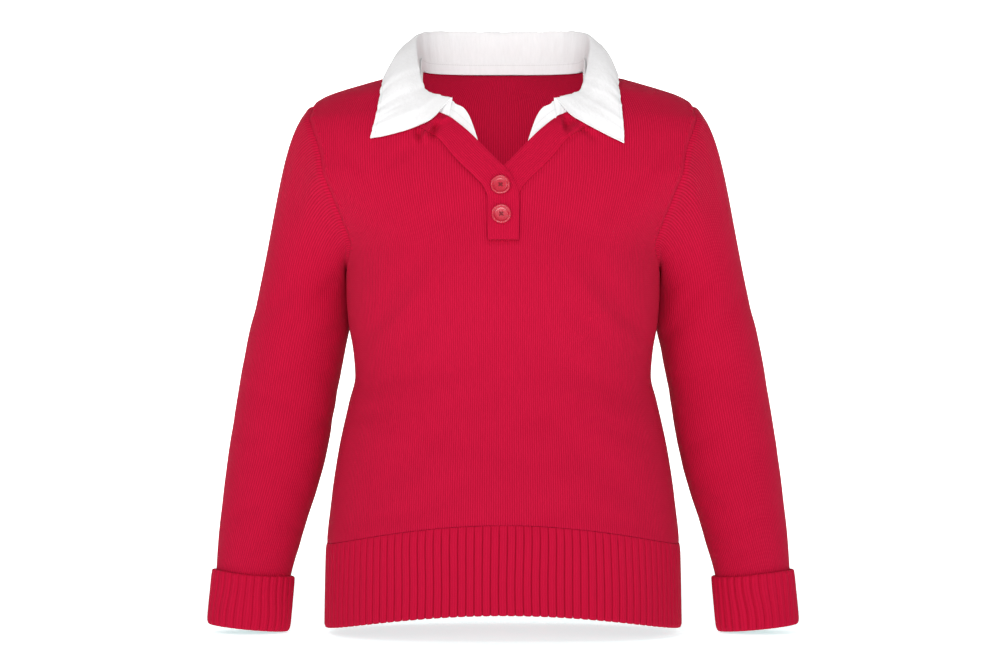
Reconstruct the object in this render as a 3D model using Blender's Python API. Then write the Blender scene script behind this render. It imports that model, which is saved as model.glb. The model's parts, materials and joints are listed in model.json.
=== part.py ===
"""A collared sweater, filled out as if worn: knitted front, back, sleeves, ribbed hem and
turned-back cuffs, two neck bands that cross into a buttoned placket, and a woven collar.

Every piece is a thin wall with its own thickness. The tables and sizes are in millimetres
and the meshes in metres. The front faces -Y, +Z is up, and the origin is where the neck
meets the shoulders of whoever holds the sweater up."""

import math
from collections import namedtuple

import bpy
from mathutils import Vector

MM = 0.001

# The knitted body, bottom to top. Above the underarm, half_width is that of the whole
# shoulder, which the armhole cuts. front and back are depths from the plane of the seams.
Section = namedtuple("Section", "z half_width front back")
BODY = [
    Section(-590, 187, 127, 112),
    Section(-490, 185, 127, 112),
    Section(-440, 179.6, 126, 108),
    Section(-390, 172, 123, 103),
    Section(-340, 161, 119, 98),
    Section(-314, 155, 118, 96),
    Section(-289, 156.5, 121, 95),
    Section(-255, 160.5, 128, 95),
    Section(-226, 162.5, 133, 96),
    Section(-203, 161.5, 134, 97),
    Section(-181, 165, 132, 98),
    Section(-155, 183.5, 128, 99),
    Section(-127, 205, 123, 100),
    Section(-99, 221, 116, 100),
    Section(-65, 223, 104, 97),
    Section(-48, 219, 95, 93),
    Section(-36, 207, 86, 88),
    Section(-29, 199, 80, 84),
    Section(-20, 184, 73, 79),
    Section(-7, 143, 61, 69),
    Section(8, 87, 45, 57),
    Section(30, 40, 20, 30),
]
SQUARENESS = 2.3        # 2 is an ellipse, and more is squarer
SEAM_Y = 8              # the side and shoulder seams lie in this plane
KNIT = 2.2              # thickness of the plain knit
SEAM_GAP = 0.3          # between two pieces at a seam

# Soft folds of the knit: where each is, which way it runs, how far it reaches and how deep.
Fold = namedtuple("Fold", "x z slope length width depth behind")
FOLDS = [
    Fold(-112, -228, 1.3, 55, 15, -2.6, False),
    Fold(112, -228, -1.3, 55, 15, -2.6, False),
    Fold(-128, -318, 0.35, 62, 17, -2.4, False),
    Fold(124, -330, -0.4, 58, 17, -2.2, False),
    Fold(-92, -392, 1.1, 70, 19, -1.8, False),
    Fold(96, -404, -0.9, 74, 19, -1.9, False),
    Fold(-70, -296, -0.3, 70, 18, -3.0, True),
    Fold(78, -312, 0.35, 66, 18, -2.7, True),
    Fold(-84, -140, -1.6, 60, 18, -2.0, True),
    Fold(88, -136, 1.5, 60, 18, -2.1, True),
]

UNDERARM = -203
SHOULDER = -29
BACK_NECK = 8
BACK_NECK_CELLS = 4     # from the middle of the back neck to the shoulder seam
ARMHOLE_FRONT = 72      # how far the armhole reaches in front of the seam plane
ARMHOLE_BACK = 62
ARMHOLE_STEPS = 13      # cells from the underarm to the shoulder, as many as the neck seam has

HEM_TOP = -489.2
HEM_BOTTOM = -575.5
LIFT_TOP = 26           # the hem is drawn up in the middle of the front
LIFT_BOTTOM = 22
LIFT_BACK = 6
HEM_RIBS = 61           # in the front, and as many in the back
RIB = 3.0               # thickness of the rib
RIB_PROUD = 0.7
RIB_GROOVE = 1.3
GROOVE_SHARE = 0.26     # of a rib's pitch

# The neck band: the seam that joins it to the front, and its free edge, from the bottom of
# the placket to the shoulder seam. These are for the wearer's right, with x below 0.
NeckRow = namedtuple("NeckRow", "seam_x seam_z edge_x edge_z")
NECK = [
    NeckRow(-15.5, -175, 16, -175),
    NeckRow(-15.5, -135, 16, -129),
    NeckRow(-19.5, -122, 11.5, -115.5),
    NeckRow(-29, -111, 0.8, -100),
    NeckRow(-49, -91, -20, -79),
    NeckRow(-67, -70, -39, -60),
    NeckRow(-80, -62, -56, -46.7),
    NeckRow(-92, -54, -66, -42),
    NeckRow(-103, -41, -76, -34.5),
    NeckRow(-109.5, -25, -83.5, -20),
    NeckRow(-112.3, -10, -86.5, -7),
    NeckRow(-113, 0.9, -87, 8),
]
BAND = 2.0
OVER_LIFT = 2.5         # the upper placket lies on the under one
ACROSS_BAND = 3

# The collar, from centre back to its front end. The stand grows from the seam to the fold,
# and the leaf falls from the fold to its free edge, which lies on the knit.
CollarRow = namedtuple("CollarRow", "fold_x fold_y fold_z edge_x edge_z roll behind")
COLLAR = [
    CollarRow(0, 72, 54, 0, 0, 9, True),
    CollarRow(-39, 68, 54, -54, 0, 9, True),
    CollarRow(-67, 54, 53, -90, -1, 10, True),
    CollarRow(-84, 33, 49.5, -112, -3, 12, True),
    CollarRow(-91, 7, 41, -126, -2.6, 13, False),
    CollarRow(-89.5, -24, 18, -130, -14, 11, False),
    CollarRow(-85, -47, -4, -131, -30, 9, False),
    CollarRow(-79, -60, -19, -131.5, -46, 7, False),
    CollarRow(-66, -69, -25, -132.5, -60, 5, False),
    CollarRow(-52, -76, -30, -134.5, -71, 4, False),
]
RIGHT_EDGE = {8: (123.5, -66), 9: (122.5, -77)}     # the other leaf hangs straighter
CLOTH = 1.2
SHOULDER_STATION = len(NECK) + 4    # counts the collar's front rows down the neck's rows
STAND_STEPS = 3
LEAF_STEPS = 6

TAPE = 0.9
TAPE_WIDTH = 13
TAPE_ENDS = [(-39, -60, 8.5), (-24, -75, 2.5)]      # x, z and width, down inside the V

# The sleeve's rings below the armhole, along its middle line.
Ring = namedtuple("Ring", "x y z half_width half_depth tilt")
SLEEVE = [
    Ring(-209.5, 32, -222, 48.3, 49, 10),
    Ring(-213.5, 31, -248, 50.8, 50, 10.5),
    Ring(-218.5, 30, -276, 51.8, 50, 10.5),
    Ring(-225, 27, -314, 51.9, 49, 10.5),
    Ring(-231, 23, -352, 51.8, 47.5, 10.5),
    Ring(-237.4, 19, -390, 51.2, 45.5, 10.5),
    Ring(-245, 15, -428, 48.6, 42.5, 11),
    Ring(-251, 12, -456, 45.6, 39.5, 11),
    Ring(-256, 10, -482, 43.4, 36, 9),
    Ring(-260.5, 8, -507, 40.6, 31, 7),
    Ring(-262.5, 8, -521, 39.4, 27.4, 6),
    Ring(-263.6, 8, -533.2, 39.2, 27, 6),
]
CAP_SHARES = (0.0, 0.07, 0.17, 0.3, 0.46, 0.64, 0.82, 1.0)

CUFF_TOP = Vector((-262.6, 8, -520.8))
CUFF_LEAN = 5.5         # degrees from upright
CUFF_RIBS = 30
CUFF_FLATTER = 12.4     # the cuff is this much less deep than it is wide, on each side
# The turned-back cuff in section: half width, and distance below its top edge.
CUFF_FACE = [(43.4, 0), (43.8, 27), (43.8, 53)]
CUFF_REST = [(41.6, 57.5), (38.8, 57.5), (36.8, 53), (36.8, 13), (39.2, 13), (39.3, 52), (40.4, 52), (40.4, 0)]

BUTTONS = {"button_top": (-2.6, -120), "button_bottom": (-1.7, -149.5)}
BUTTON_PROFILE = [(0, 0), (8.8, 0), (9.8, 0.9), (10, 1.9), (9.3, 2.8), (8.2, 3.0), (7.2, 2.4), (6.2, 1.9), (0, 1.8)]
BUTTON_SIDES = 24
HOLE_RADIUS = 1.0
HOLE_APART = 3.4


def through(rows, along, column):
    """A smooth curve through one column of a table that never overshoots its rows."""
    at = [getattr(row, along) for row in rows]
    value = [getattr(row, column) for row in rows]
    steps = [(value[i + 1] - value[i]) / (at[i + 1] - at[i]) for i in range(len(at) - 1)]
    slopes = [steps[0]]
    for before, after in zip(steps, steps[1:]):
        turns = before * after <= 0
        slopes.append(0 if turns else 2 * before * after / (before + after))
    slopes.append(steps[-1])

    def curve(place):
        place = min(max(place, at[0]), at[-1])
        i = max(k for k in range(len(at) - 1) if at[k] <= place)
        width = at[i + 1] - at[i]
        t = (place - at[i]) / width
        return (value[i] * (1 + 2 * t) * (1 - t) ** 2 + slopes[i] * width * t * (1 - t) ** 2
                + value[i + 1] * t * t * (3 - 2 * t) + slopes[i + 1] * width * t * t * (t - 1))

    return curve


half_width = through(BODY, "z", "half_width")
front_depth = through(BODY, "z", "front")
back_depth = through(BODY, "z", "back")


def fold_depth(x, z, behind):
    """How far the soft folds move the knit out at a place, below 0 for a trough."""
    total = 0
    for fold in FOLDS:
        if fold.behind == behind:
            run = math.hypot(1, fold.slope)
            along = ((x - fold.x) + (z - fold.z) * fold.slope) / run
            off = ((z - fold.z) - (x - fold.x) * fold.slope) / run
            total += fold.depth * math.exp(-(along / fold.length) ** 2 - (off / fold.width) ** 2)
    return total


def body_point(theta, z, lift=0):
    """A place on the outside of the knit. theta is 0 at centre front, 90 degrees at a side
    or shoulder seam and 180 at centre back, and is below 0 where x is."""
    sine, cosine = math.sin(theta), math.cos(theta)
    power = 2 / SQUARENESS
    x = half_width(z) * math.copysign(abs(sine) ** power, sine)
    depth = front_depth(z) if cosine > 0 else back_depth(z)
    share = abs(cosine) ** power
    outward = math.copysign(1, -cosine)
    y = outward * (share * depth + fold_depth(x, z, cosine <= 0) * min(1, share * 2))
    point = Vector((x, SEAM_Y + y, z))
    return point + body_normal(theta, z) * lift if lift else point


def body_normal(theta, z):
    across = body_point(theta + 0.02, z) - body_point(theta - 0.02, z)
    upward = body_point(theta, z + 1) - body_point(theta, z - 1)
    return across.cross(upward).normalized()


def theta_at(x, z, behind=False):
    share = min(1, abs(x) / half_width(z))
    theta = math.asin(share ** (SQUARENESS / 2))
    return math.copysign(math.pi - theta if behind else theta, x if x else 1)


def armhole(turn, behind):
    """theta and z on the armhole: turn is 0 at the underarm and pi at the shoulder."""
    z = UNDERARM + (SHOULDER - UNDERARM) * (1 - math.cos(turn)) / 2
    reach = (ARMHOLE_BACK if behind else ARMHOLE_FRONT) * math.sin(turn)
    depth = back_depth(z) if behind else front_depth(z)
    theta = math.acos(min(1, max(0, reach / depth) ** (SQUARENESS / 2)))
    return (math.pi - theta if behind else theta), z


def material(name, colour, roughness):
    finish = bpy.data.materials.new(name)
    finish.use_nodes = True
    shader = finish.node_tree.nodes["Principled BSDF"]
    shader.inputs["Base Color"].default_value = (*colour, 1)
    shader.inputs["Roughness"].default_value = roughness
    return finish


class Solid:
    """Points and triangles of one piece, added in rows."""

    def __init__(self):
        self.points = []
        self.faces = []

    def row(self, points):
        start = len(self.points)
        self.points += [tuple(p * MM) for p in points]
        return list(range(start, len(self.points)))

    def quad(self, a, b, c, d):
        self.faces += [(a, b, c), (a, c, d)]

    def bridge(self, fine, coarse, closed=False):
        """Joins two rows. The first may have a whole number of points for each of the other."""
        if closed:
            fine = fine + fine[:1]
            coarse = coarse + coarse[:1]
        ratio = (len(fine) - 1) // (len(coarse) - 1)
        for j in range(len(coarse) - 1):
            half = ratio * j + ratio // 2
            for k in range(ratio * j, ratio * (j + 1)):
                near = coarse[j] if k < half else coarse[j + 1]
                self.faces.append((fine[k], fine[k + 1], near))
            self.faces.append((fine[half], coarse[j + 1], coarse[j]))

    def finish(self, name, finish, smooth_angle=50):
        mesh = bpy.data.meshes.new(name)
        mesh.from_pydata(self.points, [], self.faces)
        mesh.materials.append(finish)
        mesh.validate()
        mesh.shade_smooth()
        mesh.set_sharp_from_angle(angle=math.radians(smooth_angle))
        thing = bpy.data.objects.new(name, mesh)
        bpy.context.scene.collection.objects.link(thing)
        return thing


def wall(name, outer, inner, finish, missing=lambda i, j: False, closed=False):
    """A closed wall between two grids of points. Cells that are missing leave an opening."""
    solid = Solid()
    rows, columns = len(outer), len(outer[0])
    wide = columns if closed else columns - 1
    there = {(i, j) for i in range(rows - 1) for j in range(wide) if not missing(i, j)}
    number = {}

    def at(layer, i, j):
        key = (layer, i, j % columns)
        if key not in number:
            grid = inner if layer else outer
            number[key] = solid.row([grid[i][j % columns]])[0]
        return number[key]

    for i, j in sorted(there):
        solid.quad(at(0, i, j), at(0, i, j + 1), at(0, i + 1, j + 1), at(0, i + 1, j))
        solid.quad(at(1, i, j), at(1, i + 1, j), at(1, i + 1, j + 1), at(1, i, j + 1))
        left, right = j - 1, j + 1
        if closed:
            left, right = left % columns, right % columns
        sides = [((i - 1, j), (i, j), (i, j + 1)), ((i, right), (i, j + 1), (i + 1, j + 1)),
                 ((i + 1, j), (i + 1, j + 1), (i + 1, j)), ((i, left), (i + 1, j), (i, j))]
        for beside, start, end in sides:
            if beside not in there:
                solid.quad(at(1, *start), at(1, *end), at(0, *end), at(0, *start))
    return solid.finish(name, finish)


def flipped(grid):
    return [row[::-1] for row in grid]


def mirrored(grid):
    return [[Vector((-p.x, p.y, p.z)) for p in row] for row in grid]


def draw_back(outer, inner, sides, by=SEAM_GAP / 2):
    """Moves the named edges of a wall towards its middle, so that seams keep their gap."""
    rows, columns = len(outer), len(outer[0])
    edges = {
        "first": [((0, j), (1, j)) for j in range(columns)],
        "last": [((rows - 1, j), (rows - 2, j)) for j in range(columns)],
        "left": [((i, 0), (i, 1)) for i in range(rows)],
        "right": [((i, columns - 1), (i, columns - 2)) for i in range(rows)],
    }
    for side in sides:
        for (i, j), (a, b) in edges[side]:
            step = (outer[a][b] - outer[i][j]).normalized() * by
            outer[i][j] = outer[i][j] + step
            inner[i][j] = inner[i][j] + step


def patch(bottom, top, left, right):
    """Places inside four curves of theta and z, which share their corners."""
    rows, columns = len(left), len(bottom)
    grid = []
    for i in range(rows):
        v = i / (rows - 1)
        line = []
        for j in range(columns):
            s = j / (columns - 1)
            place = []
            for k in (0, 1):
                sides = (1 - v) * bottom[j][k] + v * top[j][k] + (1 - s) * left[i][k] + s * right[i][k]
                corners = ((1 - s) * (1 - v) * bottom[0][k] + s * (1 - v) * bottom[-1][k]
                           + (1 - s) * v * top[0][k] + s * v * top[-1][k])
                place.append(sides - corners)
            line.append(tuple(place))
        grid.append(line)
    return grid


def between(a, b, count):
    return [tuple(p + (q - p) * k / count for p, q in zip(a, b)) for k in range(count + 1)]


def skins(places, thickness=KNIT, lift=0):
    """Outer and inner points of a wall from its places on the body."""
    outer = [[body_point(t, z, lift) for t, z in row] for row in places]
    inner = [[body_point(t, z, lift - thickness) for t, z in row] for row in places]
    return outer, inner


def lift_of(theta, z, behind):
    """How far the hem's curve raises a row of the body at a height."""
    share = min(1, abs(math.sin(theta)) ** (2 / SQUARENESS)) ** 2
    most = LIFT_BACK if behind else LIFT_TOP
    start = -300
    low = min(1, max(0, (start - z) / (start - HEM_TOP)))
    return most * low * low * (1 - share)


BELOW_UNDERARM = [-489.2, -464, -438, -410, -382, -354, -328, -302, -276, -250, -226]
SIDE_COLUMNS = 8
SLOT_COLUMNS = 2


def turns():
    return [math.pi * i / ARMHOLE_STEPS for i in range(ARMHOLE_STEPS + 1)]


def neck_seam():
    """theta and z up the inner edge of half the front, from the underarm's level."""
    rows = [(NECK[0].seam_x, UNDERARM), (NECK[0].seam_x, (UNDERARM + NECK[0].seam_z) / 2)]
    rows += [(row.seam_x, row.seam_z) for row in NECK[:-1]]
    places = [(theta_at(abs(x), z), z) for x, z in rows]
    return places + [(math.pi / 2, NECK[-1].seam_z)]


def front_half():
    """Places from the slot's edge to the side, for x above 0."""
    right = [armhole(turn, False) for turn in turns()]
    left = neck_seam()
    bottom = between(left[0], right[0], SIDE_COLUMNS)
    top = between(left[-1], right[-1], SIDE_COLUMNS)
    upper = patch(bottom, top, left, right)
    lower = []
    for z in BELOW_UNDERARM:
        first = theta_at(abs(NECK[0].seam_x), z)
        line = between((first, z), (math.pi / 2, z), SIDE_COLUMNS)
        lower.append([(t, z + lift_of(t, z, False)) for t, z in line])
    return lower + upper


def make_front(knit):
    half = front_half()
    slot_row = len(BELOW_UNDERARM) + 2
    places = []
    for row in half:
        inner_t, inner_z = row[0]
        strip = [(inner_t * (2 * k / SLOT_COLUMNS - 1), inner_z) for k in range(1, SLOT_COLUMNS)]
        places.append([(-t, z) for t, z in row[::-1]] + strip + row)
    outer, inner = skins(places)
    rows = len(outer)
    slot = range(SIDE_COLUMNS, SIDE_COLUMNS + SLOT_COLUMNS)
    last = SIDE_COLUMNS + SLOT_COLUMNS
    gap = SEAM_GAP / 2
    draw_back(outer, inner, ("first", "last", "left", "right"))
    for i in range(slot_row, rows):
        for edge, beside in ((SIDE_COLUMNS, SIDE_COLUMNS - 1), (last, last + 1)):
            step = (outer[i][beside] - outer[i][edge]).normalized() * gap
            outer[i][edge] = outer[i][edge] + step
            inner[i][edge] = inner[i][edge] + step
    return wall("body_front", outer, inner, knit, missing=lambda i, j: i >= slot_row and j in slot)


def make_back(knit):
    shoulder_cells = 5
    columns = BACK_NECK_CELLS + shoulder_cells
    right = [armhole(turn, True) for turn in turns()]
    left = between((math.pi, UNDERARM), (math.pi, BACK_NECK), ARMHOLE_STEPS)
    bottom = between(left[0], right[0], columns)
    top = between(left[-1], (math.pi / 2, BACK_NECK), BACK_NECK_CELLS)
    top += between((math.pi / 2, BACK_NECK), right[-1], shoulder_cells)[1:]
    upper = patch(bottom, top, left, right)
    lower = []
    for z in BELOW_UNDERARM:
        line = between((math.pi, z), (math.pi / 2, z), columns)
        lower.append([(t, z + lift_of(t, z, True)) for t, z in line])
    half = lower + upper
    places = [row[::-1] + [(-t, z) for t, z in row[1:]] for row in half]
    outer, inner = skins(places)
    draw_back(outer, inner, ("first", "last", "left", "right"))
    return wall("body_back", outer, inner, knit)


def sleeve_ring(ring, turn_list):
    """The points of one ring for x below 0, from the inner side forward and round."""
    lean = math.radians(ring.tilt)
    across = Vector((-math.cos(lean), 0, math.sin(lean)))
    middle = Vector((ring.x, ring.y, ring.z))
    points = []
    for turn in turn_list:
        points.append(middle - across * ring.half_width * math.cos(turn)
                      - Vector((0, ring.half_depth * math.sin(turn), 0)))
    return points


def grid_normals(grid, closed_columns=True):
    rows, columns = len(grid), len(grid[0])
    normals = []
    for i in range(rows):
        line = []
        for j in range(columns):
            before, after = (j - 1) % columns, (j + 1) % columns
            if not closed_columns:
                before, after = max(0, j - 1), min(columns - 1, j + 1)
            across = grid[i][after] - grid[i][before]
            along = grid[min(rows - 1, i + 1)][j] - grid[max(0, i - 1)][j]
            line.append(across.cross(along).normalized())
        normals.append(line)
    return normals


def sleeve_grid():
    """Outer points and their normals, from the armhole to inside the cuff, x below 0."""
    steps = turns()
    round_turns = steps + [-turn for turn in steps[-2:0:-1]]
    places = [armhole(turn, False) for turn in steps] + [armhole(turn, True) for turn in steps[-2:0:-1]]
    seam = [body_point(-theta, z) for theta, z in places]
    seam_normals = [body_normal(-theta, z) for theta, z in places]
    count = len(seam)
    first = sleeve_ring(SLEEVE[0], round_turns)
    second = sleeve_ring(SLEEVE[1], round_turns)
    grid = []
    for share in CAP_SHARES:
        line = []
        for j in range(count):
            along_seam = seam[(j + 1) % count] - seam[(j - 1) % count]
            leave = seam_normals[j].cross(along_seam).normalized()
            if leave.dot(first[j] - seam[j]) < 0 and abs(round_turns[j]) > 0.8:
                leave = -leave
            height = (1 - math.cos(round_turns[j])) / 2
            tuck = 7 * (1 - height) ** 2
            near = seam[j] + leave * (6 + 32 * height ** 1.5) + seam_normals[j] * tuck
            down = (second[j] - first[j]).normalized()
            far = first[j] - down * (8 + 94 * height ** 1.2) + seam_normals[j] * tuck * 0.5
            t = share
            line.append(seam[j] * (1 - t) ** 3 + near * 3 * t * (1 - t) ** 2
                        + far * 3 * t * t * (1 - t) + first[j] * t ** 3)
        grid.append(line)
    grid += [sleeve_ring(ring, round_turns) for ring in SLEEVE[1:]]
    normals = grid_normals(grid)
    for i, share in enumerate(CAP_SHARES):
        own = min(1, share / CAP_SHARES[3])
        normals[i] = [(a.lerp(b, own)).normalized() for a, b in zip(seam_normals, normals[i])]
    return grid, normals


def make_sleeve(name, side, knit):
    grid, normals = sleeve_grid()
    outer = [list(row) for row in grid]
    inner = [[p - n * KNIT for p, n in zip(row, line)] for row, line in zip(grid, normals)]
    draw_back(outer, inner, ("first",), SEAM_GAP * 1.3)
    if side > 0:
        outer, inner = mirrored(outer), mirrored(inner)
    else:
        outer, inner = flipped(outer), flipped(inner)
    return wall(name, outer[::-1], inner[::-1], knit, closed=True)


def rib_shares(ribs):
    """Shares of the way round and heights of the rib's outer points: a groove, then a ridge."""
    shares = []
    for k in range(ribs):
        shares += [(k, -1), (k + GROOVE_SHARE, 1), (k + 1 - GROOVE_SHARE, 1)]
    return shares


def make_cuff(name, side, rib):
    solid = Solid()
    lean = math.radians(CUFF_LEAN)
    across = Vector((-math.cos(lean), 0, math.sin(lean)))
    down = Vector((-math.sin(lean), 0, -math.cos(lean)))
    depthwise = Vector((0, 1, 0))

    def ring(radius, below, count, grooved=False):
        line = []
        shares = rib_shares(count) if grooved else [(k, 0) for k in range(count)]
        for k, height in shares:
            angle = 2 * math.pi * k / count * -side
            cut = RIB_GROOVE if height < 0 else 0
            wide, deep = radius - cut, radius - CUFF_FLATTER - cut
            place = (CUFF_TOP + down * below + across * wide * math.cos(angle)
                     + depthwise * deep * math.sin(angle))
            line.append(Vector((-place.x, place.y, place.z)) if side > 0 else place)
        return solid.row(line)

    faces = [ring(radius, below, CUFF_RIBS, True) for radius, below in CUFF_FACE]
    rest = [ring(radius, below, CUFF_RIBS) for radius, below in CUFF_REST]
    for upper, lower in zip(faces, faces[1:]):
        solid.bridge(upper, lower, closed=True)
    solid.bridge(faces[-1], rest[0], closed=True)
    for before, after in zip(rest, rest[1:]):
        solid.bridge(before, after, closed=True)
    top = [faces[0], rest[-1]]
    start = len(solid.faces)
    solid.bridge(top[0], top[1], closed=True)
    solid.faces[start:] = [face[::-1] for face in solid.faces[start:]]
    return solid.finish(name, rib, 40)


def even_thetas(z, behind, count):
    """theta at even steps of the way along half a section, from one side seam to the other."""
    fine = 720
    first = math.pi / 2 if behind else -math.pi / 2
    thetas = [first + math.pi * k / fine for k in range(fine + 1)]
    points = [body_point(theta, z) for theta in thetas]
    run = [0.0]
    for a, b in zip(points, points[1:]):
        run.append(run[-1] + (b - a).length)

    def theta(share):
        target = share / count * run[-1]
        k = max(i for i in range(fine) if run[i] <= target)
        part = (target - run[k]) / max(1e-9, run[k + 1] - run[k])
        return thetas[k] + (thetas[k + 1] - thetas[k]) * min(1, part)

    return theta


def make_hem(name, behind, rib):
    solid = Solid()
    theta_of = even_thetas(HEM_TOP, behind, HEM_RIBS)
    gap = SEAM_GAP / 2

    def height(theta, share):
        curve = 1 - min(1, abs(math.sin(theta)) ** (2 / SQUARENESS)) ** 2
        top_lift, low_lift = (LIFT_BACK, LIFT_BACK) if behind else (LIFT_TOP, LIFT_BOTTOM)
        top = HEM_TOP - 0.45 + top_lift * curve
        return top + (HEM_BOTTOM + low_lift * curve - top) * share

    def line(share, lift, grooved=False):
        if grooved:
            shares = rib_shares(HEM_RIBS) + [(HEM_RIBS, -1)]
        else:
            shares = [(k, 0) for k in range(HEM_RIBS + 1)]
        points = []
        for k, ridge in shares:
            theta = theta_of(k)
            out = lift - (RIB_GROOVE if ridge < 0 else 0)
            points.append(body_point(theta, height(theta, share), out))
        toward = -gap if behind else gap
        for end in (0, -1):
            points[end] = points[end] - Vector((0, toward, 0))
        return solid.row(points)

    outer = [line(share, RIB_PROUD, True) for share in (0, 0.5, 1)]
    inner = [line(share, RIB_PROUD - RIB) for share in (1, 0.5, 0)]
    for upper, lower in zip(outer, outer[1:]):
        solid.bridge(lower, upper)
    start = len(solid.faces)
    solid.bridge(outer[-1], inner[0])
    solid.faces[start:] = [face[::-1] for face in solid.faces[start:]]
    for before, after in zip(inner, inner[1:]):
        solid.bridge(after, before)
    solid.bridge(outer[0], inner[-1])
    for end in (0, -1):
        column = [row[end] for row in outer + inner]
        top, middle, low, low_in, middle_in, top_in = column
        pieces = [(top, middle, middle_in, top_in), (middle, low, low_in, middle_in)]
        for piece in pieces:
            solid.quad(*(piece[::-1] if end == 0 else piece))
    return solid.finish(name, rib, 40)


def band_places(side):
    """Rows of theta and z across a neck band, from the placket's bottom to the shoulder."""
    rows = []
    widest = -NECK[0].seam_x if side > 0 else NECK[0].edge_x
    for row in NECK[:-1]:
        seam = (row.seam_x * -side, row.seam_z)
        edge = (min(row.edge_x, widest) * -side, row.edge_z)
        line = between(seam, edge, ACROSS_BAND)
        rows.append([(theta_at(x, z), z) for x, z in line])
    quarter = math.pi / 2 * side
    rows.append([(quarter, z) for _, z in between((0, NECK[-1].seam_z), (0, NECK[-1].edge_z), ACROSS_BAND)])
    return rows


def make_band(name, side, knit):
    """The strip on the side whose x has this sign. The one with x below 0 lies on top."""
    over = side < 0
    places = band_places(side)
    outer, inner = [], []
    for i, row in enumerate(places):
        up = (OVER_LIFT if i < 4 else max(0, OVER_LIFT * (6 - i) / 3)) if over else 0
        line_out, line_in = [], []
        for j, (theta, z) in enumerate(row):
            lift = up
            line_out.append(body_point(theta, z, lift))
            line_in.append(body_point(theta, z, lift - BAND))
        outer.append(line_out)
        inner.append(line_in)
    draw_back(outer, inner, ("first", "last", "left", "right"))
    if side > 0:
        outer, inner = flipped(outer), flipped(inner)
    return wall(name, outer, inner, knit)


def outside(point):
    """How far a point lies outside the body, roughly, and which way is out."""
    def level(p):
        depth = front_depth(p.z) if p.y < SEAM_Y else back_depth(p.z)
        share = (abs(p.x) / half_width(p.z)) ** SQUARENESS + (abs(p.y - SEAM_Y) / depth) ** SQUARENESS
        return share ** (1 / SQUARENESS) - 1
    step = 0.5
    slope = Vector()
    for k in range(3):
        move = Vector()
        move[k] = step
        slope[k] = (level(point + move) - level(point - move)) / (2 * step)
    steep = max(slope.length, 1e-6)
    return level(point) / steep, slope / steep


def kept_out(point, gap):
    """The point, moved out until it clears the body by the gap."""
    for _ in range(6):
        distance, way = outside(point)
        if distance < gap:
            point = point + way * (gap - distance)
    return point


def knit_at(x, z, lift):
    """A place on the front, or on the shoulder seam where x reaches it."""
    z = min(z, shoulder_height(abs(x)))
    return body_point(theta_at(x, z), z, lift)


def shoulder_height(x):
    """The height of the shoulder seam at a distance from the middle."""
    low, high = SHOULDER, BODY[-1].z
    for _ in range(30):
        middle = (low + high) / 2
        low, high = (middle, high) if half_width(middle) > x else (low, middle)
    return low


def collar_row(k, side):
    """Middle points of the collar's cloth at one station, from the seam over the fold to the edge."""
    row = COLLAR[k]
    behind = row.behind
    if behind:
        theta = -math.pi + math.pi / 2 * k / BACK_NECK_CELLS
        seam, within = [body_point(theta, BACK_NECK - below, -KNIT / 2) for below in (0, 4)]
    else:
        neck = NECK[SHOULDER_STATION - k - 1]
        seam, within = [knit_at(neck.edge_x - back, neck.edge_z, -KNIT / 2) for back in (0, 4)]
    exit_way = (seam - within).normalized()
    edge_x, edge_z = row.edge_x, row.edge_z
    if side > 0 and k in RIGHT_EDGE:
        edge_x, edge_z = RIGHT_EDGE[k]
        edge_x = -edge_x
    edge_theta = theta_at(edge_x or -1e-6, edge_z, behind)
    edge = body_point(edge_theta, edge_z, 3.2)
    fold = Vector((row.fold_x, row.fold_y, row.fold_z))
    upward = (fold - seam).normalized()
    seam = seam + exit_way * (SEAM_GAP * 1.5 + CLOTH / 2)
    outward = edge - fold
    outward.z = 0
    outward = outward.normalized()
    turn = 2.2
    points = [seam + (fold - seam) * (t / STAND_STEPS) for t in range(STAND_STEPS)]
    points.append(fold - upward * turn - outward * 0.3)
    points.append(fold + outward * turn)
    start = fold + outward * 2 * turn - upward * turn * 1.2
    control = (fold + edge) / 2 + outward * row.roll * 0.5 + Vector((0, 0, row.roll))
    for t in range(1, LEAF_STEPS + 1):
        s = t / LEAF_STEPS
        point = start * (1 - s) ** 2 + control * 2 * s * (1 - s) + edge * s * s
        points.append(kept_out(point, 3.0))
    return points


def make_collar(cloth):
    rows = []
    for k in range(len(COLLAR) - 1, 0, -1):
        rows.append(collar_row(k, -1))
    for k in range(len(COLLAR)):
        points = collar_row(k, 1)
        rows.append([Vector((-p.x, p.y, p.z)) for p in points])
    normals = grid_normals(rows, closed_columns=False)
    outer = [[p + n * CLOTH / 2 for p, n in zip(row, line)] for row, line in zip(rows, normals)]
    inner = [[p - n * CLOTH / 2 for p, n in zip(row, line)] for row, line in zip(rows, normals)]
    return wall("collar", outer, inner, cloth)


def make_tape(cloth):
    stations = []
    inset = KNIT / 2 + 0.4 + TAPE
    for k, row in enumerate(COLLAR):
        points = collar_row(k, -1)
        low, high = points[0], points[STAND_STEPS]
        upward = (high - low).normalized()
        width = min(TAPE_WIDTH, (high - low).length * 0.8)
        stations.append((low - upward * 0.6, upward, width))
    for x, z, width in TAPE_ENDS:
        theta = theta_at(x, z)
        low = body_point(theta, z, -KNIT / 2)
        upward = stations[len(COLLAR) - 1][1]
        stations.append((low, upward, width))
    grid = []
    for (low, upward, width) in stations:
        grid.append([low + upward * width * t for t in (0, 0.5, 1)])
    left = grid[:0:-1]
    right = [[Vector((-p.x, p.y, p.z)) for p in row] for row in grid]
    rows = left + right
    normals = grid_normals(rows, closed_columns=False)
    side = [[p - n * (inset) for p, n in zip(row, line)] for row, line in zip(rows, normals)]
    face = [[p - n * (inset - TAPE) for p, n in zip(row, line)] for row, line in zip(rows, normals)]
    return wall("neck_tape", face, side, cloth)


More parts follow.
